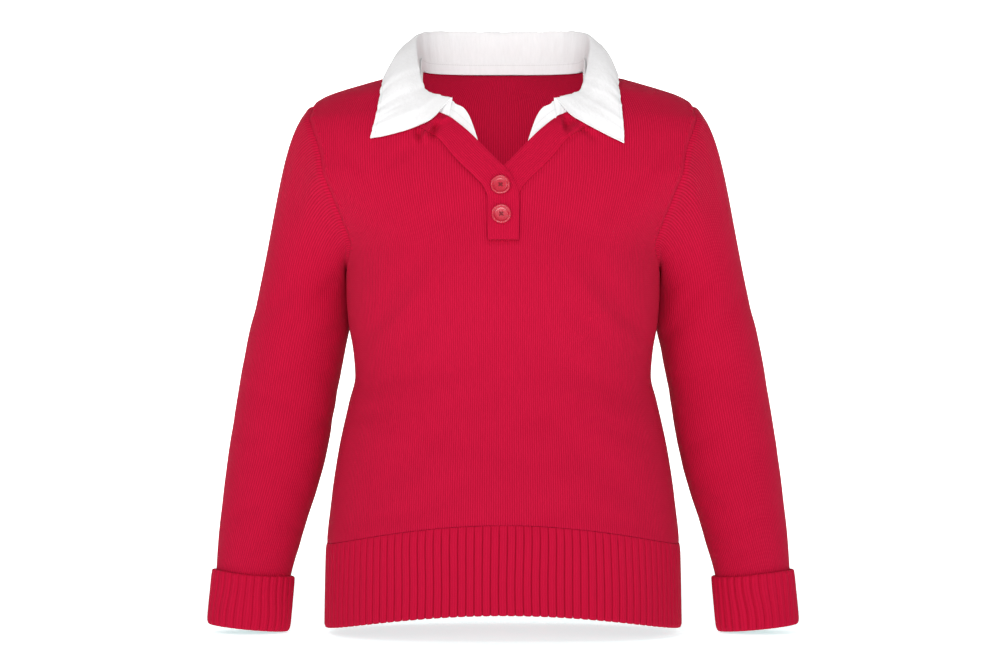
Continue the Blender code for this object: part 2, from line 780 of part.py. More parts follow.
def make_button(name, plastic):
    x, z = BUTTONS[name]
    theta = theta_at(x, z)
    normal = body_normal(theta, z)
    seat = body_point(theta, z, OVER_LIFT + 0.45)
    upward = (Vector((0, 0, 1)) - normal * normal.z).normalized()
    across = upward.cross(normal)
    solid = Solid()

    def spot(radius, angle, height):
        return seat + across * radius * math.cos(angle) + upward * radius * math.sin(angle) + normal * height

    rows = []
    for radius, height in BUTTON_PROFILE:
        count = BUTTON_SIDES if radius else 1
        angles = [2 * math.pi * k / BUTTON_SIDES for k in range(count)]
        rows.append(solid.row([spot(radius, angle, height) for angle in angles]))
    for before, after in zip(rows, rows[1:]):
        for k in range(BUTTON_SIDES):
            following = (k + 1) % BUTTON_SIDES
            if len(before) == 1:
                solid.faces.append((before[0], after[k], after[following]))
            elif len(after) == 1:
                solid.faces.append((before[k], after[0], before[following]))
            else:
                solid.quad(before[k], after[k], after[following], before[following])
    button = solid.finish(name, plastic, 35)
    cutter = Solid()
    for corner in range(4):
        angle = math.pi / 4 + corner * math.pi / 2
        reach = HOLE_APART / math.sqrt(2)
        centre = seat + across * reach * math.cos(angle) + upward * reach * math.sin(angle)
        rings = []
        for height in (-1, 4):
            ring = []
            for k in range(8):
                around = math.pi * k / 4
                ring.append(centre + across * HOLE_RADIUS * math.cos(around)
                            + upward * HOLE_RADIUS * math.sin(around) + normal * height)
            rings.append(cutter.row(ring))
        cutter.faces.append(tuple(rings[0][::-1]))
        cutter.faces.append(tuple(rings[1]))
        for k in range(8):
            cutter.quad(rings[0][k], rings[0][(k + 1) % 8], rings[1][(k + 1) % 8], rings[1][k])
    drill = cutter.finish(name + "_drill", plastic)
    drill.hide_render = True
    drill.display_type = "WIRE"
    cut = button.modifiers.new("holes", "BOOLEAN")
    cut.object = drill
    return button


def make_sweater():
    for thing in list(bpy.data.objects):
        bpy.data.objects.remove(thing)
    knit = material("crimson_knit", (0.52, 0.006, 0.045), 0.85)
    rib = material("crimson_rib", (0.47, 0.005, 0.04), 0.85)
    cotton = material("white_cotton", (0.86, 0.85, 0.87), 0.8)
    plastic = material("coral_plastic", (0.62, 0.05, 0.08), 0.3)
    make_front(knit)
    make_back(knit)
    make_sleeve("sleeve_left", 1, knit)
    make_sleeve("sleeve_right", -1, knit)
    make_cuff("cuff_left", 1, rib)
    make_cuff("cuff_right", -1, rib)
    make_hem("hem_rib_front", False, rib)
    make_hem("hem_rib_back", True, rib)
    make_band("placket_over", -1, knit)
    make_band("placket_under", 1, knit)
    make_collar(cotton)
    make_tape(cotton)
    for name in BUTTONS:
        make_button(name, plastic)


make_sweater()
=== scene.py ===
"""Looks of the collared sweater: knit, rib, woven collar, buttons, light and camera.
Sizes are in millimetres until a mesh is made, as in the part's own source."""
import json
import math
import bpy
import numpy as np
from mathutils.kdtree import KDTree
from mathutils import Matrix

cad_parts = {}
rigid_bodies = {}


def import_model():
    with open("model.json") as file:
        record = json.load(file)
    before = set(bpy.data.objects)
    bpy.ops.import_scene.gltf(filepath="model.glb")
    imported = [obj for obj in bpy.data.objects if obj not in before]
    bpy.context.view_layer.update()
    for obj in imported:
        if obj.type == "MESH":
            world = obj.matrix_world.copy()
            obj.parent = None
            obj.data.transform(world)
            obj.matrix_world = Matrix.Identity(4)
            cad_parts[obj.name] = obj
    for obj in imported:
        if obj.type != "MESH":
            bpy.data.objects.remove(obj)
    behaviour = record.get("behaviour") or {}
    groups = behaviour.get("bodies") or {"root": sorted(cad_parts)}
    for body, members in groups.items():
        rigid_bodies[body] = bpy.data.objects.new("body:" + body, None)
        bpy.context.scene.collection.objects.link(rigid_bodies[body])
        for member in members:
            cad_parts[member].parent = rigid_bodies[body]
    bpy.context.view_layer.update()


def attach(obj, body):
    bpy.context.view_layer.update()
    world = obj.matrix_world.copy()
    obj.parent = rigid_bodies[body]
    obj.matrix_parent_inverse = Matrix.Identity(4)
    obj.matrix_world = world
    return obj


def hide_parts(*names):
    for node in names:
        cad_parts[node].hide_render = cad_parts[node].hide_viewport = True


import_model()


# ---- Front panel -------------------------------------------------------------------------
# Plain knit with the V and the placket's slot cut in. It is a thin shell on the solid's own
# sections, drawn finer, with its creases placed one by one and a soft dip along every seam.

# height, half width, depth in front, depth behind
BODY = np.array([
    (-590, 187, 127, 112), (-490, 185, 127, 112), (-440, 179.6, 126, 108),
    (-390, 172, 123, 103), (-340, 161, 119, 98), (-314, 155, 118, 96),
    (-289, 156.8, 121, 95), (-255, 162.4, 128, 95), (-226, 164.2, 133, 96),
    (-203, 164.3, 134, 97), (-181, 166.2, 132, 98), (-155, 183.5, 128, 99),
    (-127, 205, 123, 100), (-99, 221, 116, 100), (-65, 223, 104, 97),
    (-48, 219, 95, 93), (-36, 207, 86, 88), (-29, 199, 80, 84), (-20, 184, 73, 79),
    (-7, 143, 61, 69), (8, 87, 45, 57), (30, 40, 20, 30),
], float)
SQUARENESS = 2.3
SEAM_Y = 8
KNIT = 2.2
SEAM_GAP = 0.3

# x, z, slope, length, width, depth, at the front and then behind
CREASES = {
    False: [
        (-112, -228, 1.3, 55, 14, -4.2), (112, -228, -1.3, 55, 14, -4.2),
        (-128, -318, 0.35, 62, 15, -4), (124, -330, -0.4, 58, 15, -3.8),
        (-92, -392, 1.1, 70, 17, -3.2), (96, -404, -0.9, 74, 17, -3.3),
        (-130, -262, 0.9, 30, 7, -2.4), (-99, -246, 1.2, 38, 8, 2.2), (-84, -268, 1, 34, 7, -1.9),
        (133, -259, -0.8, 32, 7, -2.4), (101, -243, -1.1, 40, 8, 2), (86, -262, -0.9, 30, 7, -1.7),
        (-142, -352, 0.25, 38, 8, -2.2), (-120, -371, -0.3, 44, 9, 1.8),
        (-61, -432, 0.6, 58, 11, -1.9), (-18, -386, -0.2, 70, 13, -1.7),
        (42, -352, 0.3, 60, 12, -1.9), (139, -297, 0.5, 36, 8, -2.2),
        (133, -374, -0.5, 40, 8, -2.2), (72, -441, 0.5, 62, 11, -2), (21, -457, 0.1, 66, 10, -1.7),
        (-121, -456, 0.2, 50, 9, -2), (122, -461, -0.25, 48, 9, -1.9),
        (-34, -318, 0.5, 52, 12, 1.6), (58, -296, -0.4, 46, 10, -1.6),
        (-150, -96, -1.2, 32, 8, -2.2), (153, -99, 1.2, 34, 8, -2.2),
        (-62, -152, 0.4, 40, 11, -1.6), (68, -160, -0.4, 42, 11, -1.6), (-59, -50, 0.4, 12, 3.4, 5),
        (-69.5, -61, 3, 10, 2.9, -6.6), (-77.5, -64, 2, 11, 3.1, 6.2),
        (-85.5, -68, -2.7, 8, 2.8, -5.4), (-91, -71, -4, 7, 2.8, 3.4), (58.5, -51, -2.8, 9, 2.8, 5),
        (64.5, -57, -4.8, 10, 2.8, -6.2), (69, -53, 1, 6, 3, -4.4), (74, -60, 0.9, 9, 3.1, 5.8),
        (86, -64, -0.9, 9, 3, -4.2), (-104, -86, 0.8, 20, 6, -1.6),
    ],
    True: [
        (-70, -296, -0.3, 70, 17, -4.4), (78, -312, 0.35, 66, 17, -4),
        (-84, -140, -1.6, 60, 17, -3.2), (88, -136, 1.5, 60, 17, -3.4),
        (-30, -330, 0.2, 60, 11, -2.4), (44, -278, -0.25, 56, 10, -2.2),
        (-116, -262, 0.9, 42, 9, -2.3), (121, -270, -0.9, 44, 9, -2.4),
        (-104, -352, -0.5, 48, 10, 1.9), (100, -366, 0.5, 50, 10, 1.8),
        (-58, -412, 0.8, 64, 12, -2), (64, -424, -0.7, 60, 12, -2), (4, -446, 0.1, 70, 12, -1.8),
        (-136, -186, -1.9, 38, 9, -2.2), (138, -190, 1.8, 36, 9, -2.2),
        (-22, -196, 0.3, 50, 12, -1.6),
    ],
}
MIRROR = np.array([-1, 1, 1])


def column(table, at, which, along=0):
    """Smooth values through one column of a table, which never overshoot its rows."""
    places, values = table[:, along], table[:, which]
    steps = np.diff(values) / np.diff(places)
    product = steps[:-1] * steps[1:]
    total = np.where(product > 0, steps[:-1] + steps[1:], 1)
    middle = np.where(product > 0, 2 * product / total, 0)
    slopes = np.concatenate([steps[:1], middle, steps[-1:]])
    at = np.clip(at, places[0], places[-1])
    i = np.clip(np.searchsorted(places, at, side="right") - 1, 0, len(places) - 2)
    width = places[i + 1] - places[i]
    t = (at - places[i]) / width
    return (values[i] * (1 + 2 * t) * (1 - t) ** 2 + slopes[i] * width * t * (1 - t) ** 2
            + values[i + 1] * t * t * (3 - 2 * t) + slopes[i + 1] * width * t * t * (t - 1))


def crease(x, z, slope, length, width, depth):
    """A long soft dent or ridge, at places from its middle."""
    run = math.hypot(1, slope)
    along = (x + z * slope) / run / length
    off = (z - x * slope) / run / width
    return depth * np.exp(-along ** 2 - off ** 2)


def hump(away, width):
    return np.exp(-(away / width) ** 2)


def form(theta, z, creased=True):
    """The outside of the knit: theta is 0 at centre front and pi at centre back."""
    theta, z = np.broadcast_arrays(theta, z)
    sine, cosine = np.sin(theta), np.cos(theta)
    power = 2 / SQUARENESS
    x = column(BODY, z, 1) * np.sign(sine) * np.abs(sine) ** power
    behind = cosine <= 0
    share = np.abs(cosine) ** power
    out = np.where(behind, column(BODY, z, 3), column(BODY, z, 2)) * share
    for back in (False, True) if creased else ():
        for cx, cz, *shape in CREASES[back]:
            wave = crease(x - cx, z - cz, *shape)
            out = out + np.where(behind == back, wave, 0) * np.minimum(1, share * 2)
    return np.stack([x, SEAM_Y + np.where(behind, out, -out), z.astype(float)], axis=-1)


def norm(vectors):
    return np.linalg.norm(vectors, axis=-1)


def unit(vectors):
    return vectors / np.maximum(norm(vectors)[..., None], 1e-9)


def run_of(points, axis=0):
    """How far each point lies from the first, along its line."""
    return np.insert(np.cumsum(norm(np.diff(points, axis=axis)), axis=axis), 0, 0, axis=axis)


def body_normal(theta, z):
    across = form(theta + 0.02, z) - form(theta - 0.02, z)
    return unit(np.cross(across, form(theta, z + 1) - form(theta, z - 1)))


def body(theta, z, lift=0.0):
    theta, z = np.asarray(theta, float), np.asarray(z, float)
    lift = np.broadcast_to(lift, np.broadcast(theta, z).shape)
    return form(theta, z) + body_normal(theta, z) * lift[..., None]


def theta_at(x, z):
    share = np.minimum(1, np.abs(x) / column(BODY, z, 1))
    return np.sign(x) * np.arcsin(share ** (SQUARENESS / 2))


TURN_STEPS = 240
FOOT = -600
LEVEL_STEP = 3
LEVELS = 211
CHEST = -129


def stitches(theta, z, behind=False):
    """Metres across and up the knit, which the stitch pattern follows. Half of the rounding
    is taken up by wider stitches, so that wales lean outwards at the chest."""
    turns = np.linspace(0, math.pi, TURN_STEPS + 1)
    heights = FOOT + LEVEL_STEP * np.arange(LEVELS)
    grid = form(turns[None], heights[:, None], creased=False)
    across, upward = run_of(grid, 1), run_of(grid)
    across = (across + across[(CHEST - FOOT) // LEVEL_STEP]) / 2
    if behind:
        across = across[:, -1:] - across
    a = np.clip(np.abs(theta) / math.pi * TURN_STEPS, 0, TURN_STEPS - 0.001)
    b = np.clip((z - FOOT) / LEVEL_STEP, 0, LEVELS - 1.001)
    i, j = b.astype(int), a.astype(int)
    s, t = a - j, b - i

    def pick(table):
        return ((table[i, j] * (1 - s) + table[i, j + 1] * s) * (1 - t)
                + (table[i + 1, j] * (1 - s) + table[i + 1, j + 1] * s) * t)

    return np.stack([pick(across) * np.sign(theta), pick(upward)], axis=-1) / 1000


def to_edge(points, edge):
    """How far each point is from the nearest of the edge's points."""
    tree = KDTree(len(edge))
    for k, p in enumerate(edge):
        tree.insert(p, k)
    tree.balance()
    flat = points.reshape(-1, 3)
    return np.array([tree.find(p)[2] for p in flat]).reshape(points.shape[:-1])


def rim(points, there):
    """The points on the open edges of a grid whose cells are there or missing."""
    rows, columns = points.shape[:2]
    around = np.zeros((rows, columns), int)
    for a in (0, 1):
        for b in (0, 1):
            around[a:rows - 1 + a, b:columns - 1 + b] += there
    return points[(around > 0) & (around < 4)]


def made(name, points, faces, finish=None, spots=None):
    """A smooth piece from points in millimetres, with a place in the stitches at each corner."""
    mesh = bpy.data.meshes.new(name)
    mesh.from_pydata((np.array(points) / 1000).tolist(), [], faces)
    if spots is not None:
        layer = mesh.uv_layers.new(name="stitches")
        layer.data.foreach_set("uv", np.array(spots, float).ravel())
    mesh.shade_smooth()
    if finish:
        mesh.materials.append(finish)
    thing = bpy.data.objects.new(name, mesh)
    bpy.context.scene.collection.objects.link(thing)
    return thing


def belongs(piece, node=None):
    """Ties a piece to the part: it rides on it, and may stand for a node, which it hides."""
    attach(piece, "root")
    if node:
        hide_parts(node)


def cells(grid):
    """Every cell between the points of a grid, as there."""
    return np.ones(np.subtract(grid.shape[:2], 1), bool)


def shell(name, outer, inner, uv, finish, there=None, closed=False, angle=55):
    """A shut wall between two grids of points, with a place in the stitches at each."""
    rows, columns = outer.shape[:2]
    wide = columns if closed else columns - 1
    if there is None:
        there = np.ones((rows - 1, wide), bool)
    faces, spots = [], []

    def add(layers, corners):
        faces.append([layer * rows * columns + i * columns + j % columns
                      for layer, (i, j) in zip(layers, corners)])
        spots.append([uv[i, j] for i, j in corners])

    for i, j in zip(*np.nonzero(there)):
        a, b, c, d = (i, j), (i, j + 1), (i + 1, j + 1), (i + 1, j)
        add((0, 0, 0, 0), (a, b, c, d))
        add((1, 1, 1, 1), (a, d, c, b))
        before, after = j - 1, j + 1
        if closed:
            before, after = before % columns, after % columns
        if i == 0 or not there[i - 1, j]:
            add((1, 1, 0, 0), (a, b, b, a))
        if after >= wide or not there[i, after]:
            add((1, 1, 0, 0), (b, c, c, b))
        if i == rows - 2 or not there[i + 1, j]:
            add((1, 1, 0, 0), (c, d, d, c))
        if before < 0 or not there[i, before]:
            add((1, 1, 0, 0), (d, a, a, d))
    points = np.concatenate([outer.reshape(-1, 3), inner.reshape(-1, 3)])
    used, renumbered = np.unique(np.array(faces), return_inverse=True)
    thing = made(name, points[used], renumbered.reshape(-1, 4).tolist(), finish, spots)
    thing.data.set_sharp_from_angle(angle=math.radians(angle))
    return thing


def feed(sockets, values):
    """Links each value that is a socket into its own, and sets the others."""
    for socket, value in zip(sockets, values):
        if isinstance(value, bpy.types.NodeSocket):
            socket.id_data.links.new(value, socket)
        elif value is not None:
            socket.default_value = value


def wire(tree, kind, *inputs, **settings):
    """Adds a shader node, with values or links into its first sockets."""
    node = tree.nodes.new("ShaderNode" + kind)
    for key, value in settings.items():
        setattr(node, key, value)
    feed(node.inputs, inputs)
    return node


def named(node, **values):
    """Feeds a node's sockets by their names, with _ for each space."""
    feed([node.inputs[key.replace("_", " ")] for key in values], values.values())


def maths(tree, operation, *inputs):
    return wire(tree, "Math", *inputs, operation=operation).outputs[0]


def blend(tree, share, low, high):
    """The colour at a share of the way between two."""
    return wire(tree, "Mix", share, *[None] * 5, (*low, 1), (*high, 1), data_type="RGBA").outputs[2]


def scaled(tree, place, sizes):
    return wire(tree, "VectorMath", place, sizes, operation="MULTIPLY").outputs[0]


def noise(tree, place, scale, detail, rough):
    return wire(tree, "TexNoise", place, None, scale, detail, rough).outputs[0]


def effect(name, sizes, results):
    """A node group with number inputs after its place, and number results."""
    tree = bpy.data.node_groups.new(name, "ShaderNodeTree")
    tree.interface.new_socket("Place", in_out="INPUT", socket_type="NodeSocketVector")
    for key, value in sizes.items():
        socket = tree.interface.new_socket(key, in_out="INPUT", socket_type="NodeSocketFloat")
        socket.default_value = value
    for key in results:
        tree.interface.new_socket(key, in_out="OUTPUT", socket_type="NodeSocketFloat")
    return tree, tree.nodes.new("NodeGroupInput").outputs, tree.nodes.new("NodeGroupOutput").inputs


# Stockinette: each wale is a column of V stitches, with a groove between wales. Its Shade result is
# painted shade and highlight that follows the relief.
tree, given, result = effect("stockinette", {"Wale": 0.0025, "Course": 0.0019}, ["Height", "Shade"])
parts = wire(tree, "SeparateXYZ", given["Place"])
side = maths(tree, "FRACT", maths(tree, "DIVIDE", parts.outputs[0], given["Wale"]))
from_middle = maths(tree, "ABSOLUTE", maths(tree, "SUBTRACT", side, 0.5))
round_wale = maths(tree, "COSINE", maths(tree, "MULTIPLY", from_middle, math.pi))
round_wale = maths(tree, "POWER", maths(tree, "MAXIMUM", round_wale, 0.0), 1.3)
split = maths(tree, "MULTIPLY_ADD", from_middle, -9.0, 1.0)
split = maths(tree, "MULTIPLY", maths(tree, "MAXIMUM", split, 0.0), -0.2)
row = maths(tree, "DIVIDE", parts.outputs[1], given["Course"])
slant = maths(tree, "MULTIPLY", from_middle, 1.7)
row = maths(tree, "SUBTRACT", row, slant)
bead = maths(tree, "SINE", maths(tree, "MULTIPLY", row, 2 * math.pi))
bead = maths(tree, "MULTIPLY_ADD", bead, 0.13, 0.87)
height = maths(tree, "ADD", maths(tree, "MULTIPLY", round_wale, bead), split)
# Shade is low in the grooves and in the split between a stitch's legs, and high on its crests:
# painted shade and painted highlight.
feed(result, (height, maths(tree, "MULTIPLY_ADD", height, 0.7, 0.25)))


# Heather: the yarn's uneven dye and the soft fuzz over it.
tree, given, result = effect("yarn", {}, ["Tone", "Fuzz"])
tone = maths(tree, "MULTIPLY_ADD", noise(tree, given["Place"], 26.0, 2.0, 0.5), 0.16, 0.92)
fine = noise(tree, given["Place"], 340.0, 3.0, 0.6)
tone = maths(tree, "ADD", tone, maths(tree, "MULTIPLY_ADD", fine, 0.22, -0.11))
feed(result, (tone, noise(tree, given["Place"], 1900.0, 2.0, 0.6)))


def new_finish(name):
    """A material, its node tree, its shader and a socket with the place in the object."""
    finish = bpy.data.materials.new(name)
    finish.use_nodes = True
    tree = finish.node_tree
    where = wire(tree, "TexCoord").outputs["Object"]
    return finish, tree, tree.nodes["Principled BSDF"], where


def worked(tree, group, *inputs):
    return wire(tree, "Group", *inputs, node_tree=bpy.data.node_groups[group]).outputs


def bumped(tree, rise, strength, relief):
    bump = wire(tree, "Bump", strength, relief)
    named(bump, Height=rise)
    return bump.outputs[0]


def knitted(name, low, high, wale, course, relief):
    """Yarn knitted at a stitch size, blended from a darker colour in the grooves, painted shade,
    to a lighter one on the crests, painted highlight, with relief in metres."""
    finish, tree, shader, where = new_finish(name)
    place = wire(tree, "UVMap", uv_map="stitches").outputs[0]
    height, shade = worked(tree, "stockinette", place, wale, course)
    tone, fuzz = worked(tree, "yarn", where)
    # The blend by Shade paints shade into the grooves and highlight onto the crests; the yarn's
    # tone beside it is its own uneven dye.
    colour = blend(tree, maths(tree, "MULTIPLY", shade, tone), low, high)
    rise = maths(tree, "ADD", height, maths(tree, "MULTIPLY", fuzz, 0.18))
    named(shader, Base_Color=colour, Normal=bumped(tree, rise, 0.9, relief), Roughness=0.88,
          Specular_IOR_Level=0.08, Sheen_Weight=0.05, Sheen_Roughness=0.45,
          Sheen_Tint=(1.0, 0.25, 0.35, 1))
    return finish


# The first colour, darker, is painted shade in the grooves; the second, lighter and pinker, is
# painted highlight on the crests.
crimson_knit = knitted("crimson_knit", (0.325, 0.0009, 0.014), (0.575, 0.0062, 0.047),
                       0.0025, 0.0019, 0.0006)

HEM_TOP = -489.2
UNDERARM = -203
SHOULDER = -29
LIFT_TOP = 26
LIFT_BOTTOM = 22
LIFT_BACK = 6
ARMHOLE_FRONT = 72
ARMHOLE_BACK = 62
ARMHOLE_STEPS = 13

# seam x, seam z, edge x, edge z up the neck band, for x below 0
NECK = np.array([
    (-15.5, -175, 16, -175), (-15.5, -135, 16, -129), (-19.5, -122, 11.5, -115.5),
    (-29, -111, 0.8, -100), (-49, -91, -20, -79), (-67, -70, -39, -60),
    (-80, -62, -56, -46.7), (-92, -54, -66, -42), (-103, -41, -76, -34.5),
    (-109.5, -25, -83.5, -20), (-112.3, -10, -86.5, -7), (-113, 0.9, -87, 8),
])


def armhole(turn, behind):
    """theta and z on the armhole: turn is 0 at the underarm and pi at the shoulder."""
    z = UNDERARM + (SHOULDER - UNDERARM) * (1 - np.cos(turn)) / 2
    reach = (ARMHOLE_BACK if behind else ARMHOLE_FRONT) * np.sin(turn)
    depth = column(BODY, z, 3 if behind else 2)
    theta = np.arccos(np.clip(reach / depth, 0, 1) ** (SQUARENESS / 2))
    return np.stack([math.pi - theta if behind else theta, z], axis=-1)


def lift_of(theta, z, most):
    """How far the hem's curve raises a place on the body."""
    share = np.abs(np.sin(theta)) ** (4 / SQUARENESS)
    low = np.clip((-300 - z) / (-300 - HEM_TOP), 0, 1)
    return most * low * low * (1 - share)


SEAM_DIP = 1.2
SEAM_WIDTH = 2.6
BESIDE_SEAM = 6.5
BESIDE_WIDTH = 3.5


def panel(places, there, name, finish):
    """A knit wall from its places on the body, dipped along its seams, less so at the hem."""
    theta, z = places[..., 0], places[..., 1]
    flat = form(theta, z)
    away = to_edge(flat, rim(flat, there))
    dip = 0.5 * hump(away - BESIDE_SEAM, BESIDE_WIDTH) - SEAM_DIP * hump(away, SEAM_WIDTH)
    dip = dip * (0.25 + 0.75 * np.clip((z + 458) / 25, 0, 1))
    outer = body(theta, z, dip)
    inner = body(theta, z, dip * 0.4 - KNIT)
    behind = bool(np.cos(theta).mean() < 0)
    return shell(name, outer, inner, stitches(theta, z, behind), finish, there)


def half_panel(middle, side, first, share, most):
    """Places from the middle line to the side, at each level from the hem to the top."""
    upper = middle[:, None] * (1 - share[:, None]) + side[:, None] * share[:, None]
    theta = first[:, None] * (1 - share) + math.pi / 2 * share
    z = low_z[:, None] + lift_of(theta, low_z[:, None], most)
    return np.concatenate([np.stack([theta, z], -1), upper])


FINE = 9
SIDE = 82
MIDDLE = 8
LOW_LEVELS = 83
low_z = np.linspace(HEM_TOP, UNDERARM, LOW_LEVELS + 1)[:-1]
v = np.arange(ARMHOLE_STEPS * FINE + 1) / (ARMHOLE_STEPS * FINE)
rows = [(NECK[0, 0], UNDERARM), (NECK[0, 0], (UNDERARM + NECK[0, 1]) / 2)]
rows += [(x, z) for x, z in NECK[:-1, :2]]
corners = [(k, theta_at(abs(x), z), z) for k, (x, z) in enumerate(rows)]
corners.append((len(rows), math.pi / 2, NECK[-1, 1]))
corners = np.array(corners, float)
left = np.stack([column(corners, v * ARMHOLE_STEPS, 1), column(corners, v * ARMHOLE_STEPS, 2)], -1)
half = half_panel(left, armhole(v * math.pi, False), theta_at(-NECK[0, 0], low_z),
                  np.linspace(0, 1, SIDE + 1), LIFT_TOP)
slot_row = LOW_LEVELS + 2 * FINE
inner_edge = half[:, :1]
shares = (np.arange(1, MIDDLE) / MIDDLE * 2 - 1)[None, :, None]
strip = np.concatenate([inner_edge[..., :1] * shares,
                        np.repeat(inner_edge[..., 1:], MIDDLE - 1, axis=1)], axis=-1)
mirror = half[:, ::-1] * np.array([-1, 1])
front_places = np.concatenate([mirror, strip, half], axis=1)
there = cells(front_places)
there[slot_row:, SIDE:SIDE + MIDDLE] = False
front = panel(front_places, there, "front_knit", crimson_knit)
belongs(front, "body_front")


# ---- Back panel --------------------------------------------------------------------------
# Plain knit with a level neck, shoulder slopes and the same armholes. Nothing shows it in
# the photo but a strip inside the V, so its creases only echo the front's.
NECK_SHARE = 4 / 9
BACK_NECK = 8
SIDE_BACK = 63
along = np.linspace(0, 1, SIDE_BACK + 1)
left = np.stack([np.full_like(v, math.pi), UNDERARM + (BACK_NECK - UNDERARM) * v], -1)
half = half_panel(left, armhole(v * math.pi, True), np.full_like(low_z, math.pi), along, LIFT_BACK)
to_shoulder = np.clip(along / NECK_SHARE, 0, 1)
down = np.clip((along - NECK_SHARE) / (1 - NECK_SHARE), 0, 1)
top = np.stack([math.pi - math.pi / 2 * to_shoulder,
                BACK_NECK + (SHOULDER - BACK_NECK) * down], -1)
half[LOW_LEVELS:] += v[:, None, None] * (top - half[-1])
back_places = np.concatenate([half[:, ::-1], half[:, 1:] * np.array([-1, 1])], axis=1)
back = panel(back_places, cells(back_places), "back_knit", crimson_knit)
belongs(back, "body_back")


# ---- Fashioning marks --------------------------------------------------------------------
# Where the panels are narrowed at the armholes, doubled stitches stand up in a dotted line
# beside the seam. All of them are one mesh of small raised beads on the knit.
MARKS = 15
MARK_INSET = 7.5
MARK_WIDE = 2.1
MARK_HIGH = 3.0
MARK_PROUD = 1.5
MARK_SUNK = 0.35
bead = np.stack(np.meshgrid(np.linspace(-1, 1, 7), np.linspace(-1, 1, 6), indexing="ij"), axis=-1)
swell = np.clip(1 - (bead ** 2).sum(-1), 0, 1) ** 0.5
mark_theta, mark_z = [], []
for behind in (False, True):
    for turn in np.linspace(0.72, 2.82, MARKS):
        at, level = armhole(turn, behind)
        inward = 0.05 if behind else -0.05
        arc = norm(form(at + inward, level) - form(at, level))
        rise = max(0.35, float(norm(form(at, level + 1) - form(at, level))))
        middle = at + inward * MARK_INSET / arc
        mark_theta.append(middle + bead[..., 1] * 0.05 * MARK_WIDE / arc)
        mark_z.append(level + bead[..., 0] * MARK_HIGH / rise)
theta = np.concatenate(mark_theta)
z = np.concatenate(mark_z)
theta, z = np.concatenate([theta, -theta[:, ::-1]]), np.concatenate([z, z[:, ::-1]])
lift = np.tile(swell, (MARKS * 4, 1)) * MARK_PROUD - MARK_SUNK
there = cells(theta)
there[6::7] = False
marks = shell("fashioning_marks", body(theta, z, lift), body(theta, z, -0.9), stitches(theta, z),
              crimson_knit, there)
belongs(marks)


# ---- Sleeves -----------------------------------------------------------------------------
# Set in at the armholes, with the head rounding over the shoulder and the tube narrowing to
# the cuff. The creases gather at the elbow and along the inner arm, uneven on each side.

# x, y, z, half width, half depth, tilt down the middle line, for x below 0
SLEEVE = np.array([
    (-208.8, 32, -222, 48.3, 49, 10), (-211.5, 31, -248, 50.8, 50, 10.5),
    (-217.8, 30, -276, 51.8, 50, 10.5), (-225, 27, -314, 51.9, 49, 10.5),
    (-231, 23, -352, 51.8, 47.5, 10.5), (-237.4, 19, -390, 51.2, 45.5, 10.5),
    (-245, 15, -428, 48.6, 42.5, 11), (-251, 12, -456, 45.6, 39.5, 11),
    (-256, 10, -482, 43.4, 36, 9), (-260.5, 8, -507, 40.6, 31, 7),
    (-262.5, 8, -521, 39.4, 27.4, 6), (-263.6, 8, -533.2, 39.2, 27, 6),
])
HEAD_ROWS = 34
ARM_ROWS = 88
ROUND = 104
UNDERARM_TUCK = 3.5
UPPER_ARM = 50
UPPER_GIRTH = 314
CREASE_STRENGTH = 1.7

# turn in degrees (0 inner, 90 front, 180 outer), z, slope, length, width, depth
ARM_CREASES = {
    -1: [
        (30, -262, -0.5, 42, 8, -2.2), (62, -300, -0.35, 46, 9, -1.7), (20, -322, 0.5, 34, 8, -1.8),
        (96, -338, 0.3, 48, 10, -1.5), (35, -372, -0.45, 38, 8, -2), (80, -398, -0.2, 44, 9, -1.3),
        (140, -372, 0.25, 40, 9, -1.2), (48, -430, 0.4, 32, 7, -1.5),
        (110, -452, -0.3, 36, 8, -1.2), (25, -476, 0.3, 28, 6, -1.4),
        (75, -492, -0.35, 30, 6, -1.2), (120, -236, -0.8, 36, 9, -1.1),
        (-60, -290, 0.4, 46, 10, -1.9), (-35, -350, -0.4, 40, 9, -1.8),
        (-95, -384, 0.3, 44, 10, -1.5), (-50, -436, 0.35, 34, 8, -1.6),
        (-110, -470, -0.3, 34, 8, -1.2), (-80, -236, 0.7, 40, 10, -1.4),
        (68, -232, -1, 34, 8, -1.5), (150, -300, 0.3, 44, 10, -1),
    ],
    1: [
        (34, -270, 0.5, 40, 8, -2.1), (58, -312, 0.3, 48, 9, -1.8), (22, -340, -0.5, 34, 8, -1.7),
        (100, -326, -0.3, 46, 10, -1.4), (38, -386, 0.4, 38, 8, -2), (84, -410, 0.25, 42, 9, -1.4),
        (136, -392, -0.25, 42, 9, -1.2), (44, -444, -0.4, 32, 7, -1.5),
        (104, -462, 0.3, 36, 8, -1.2), (28, -486, -0.3, 26, 6, -1.3), (70, -500, 0.3, 28, 6, -1.1),
        (124, -244, 0.8, 36, 9, -1.1), (-56, -298, -0.4, 44, 10, -1.8),
        (-38, -360, 0.4, 40, 9, -1.8), (-90, -396, -0.3, 44, 10, -1.5),
        (-54, -446, -0.35, 34, 8, -1.5), (-104, -478, 0.3, 34, 8, -1.2),
        (-84, -246, -0.7, 40, 10, -1.4), (70, -238, 1, 34, 8, -1.5), (148, -318, -0.3, 44, 10, -1),
    ],
}


def sleeve_ring(x, y, z, half_width, half_depth, tilt, turn):
    lean = math.radians(tilt)
    across = np.array([-math.cos(lean), 0, math.sin(lean)])
    points = np.array([x, y, z]) - np.cos(turn)[:, None] * across * half_width
    points[:, 1] -= np.sin(turn) * half_depth
    return points


def grid_normals(grid, closed=True):
    if closed:
        across = np.roll(grid, -1, axis=1) - np.roll(grid, 1, axis=1)
    else:
        across = np.gradient(grid, axis=1)
    return unit(np.cross(across, np.gradient(grid, axis=0)))


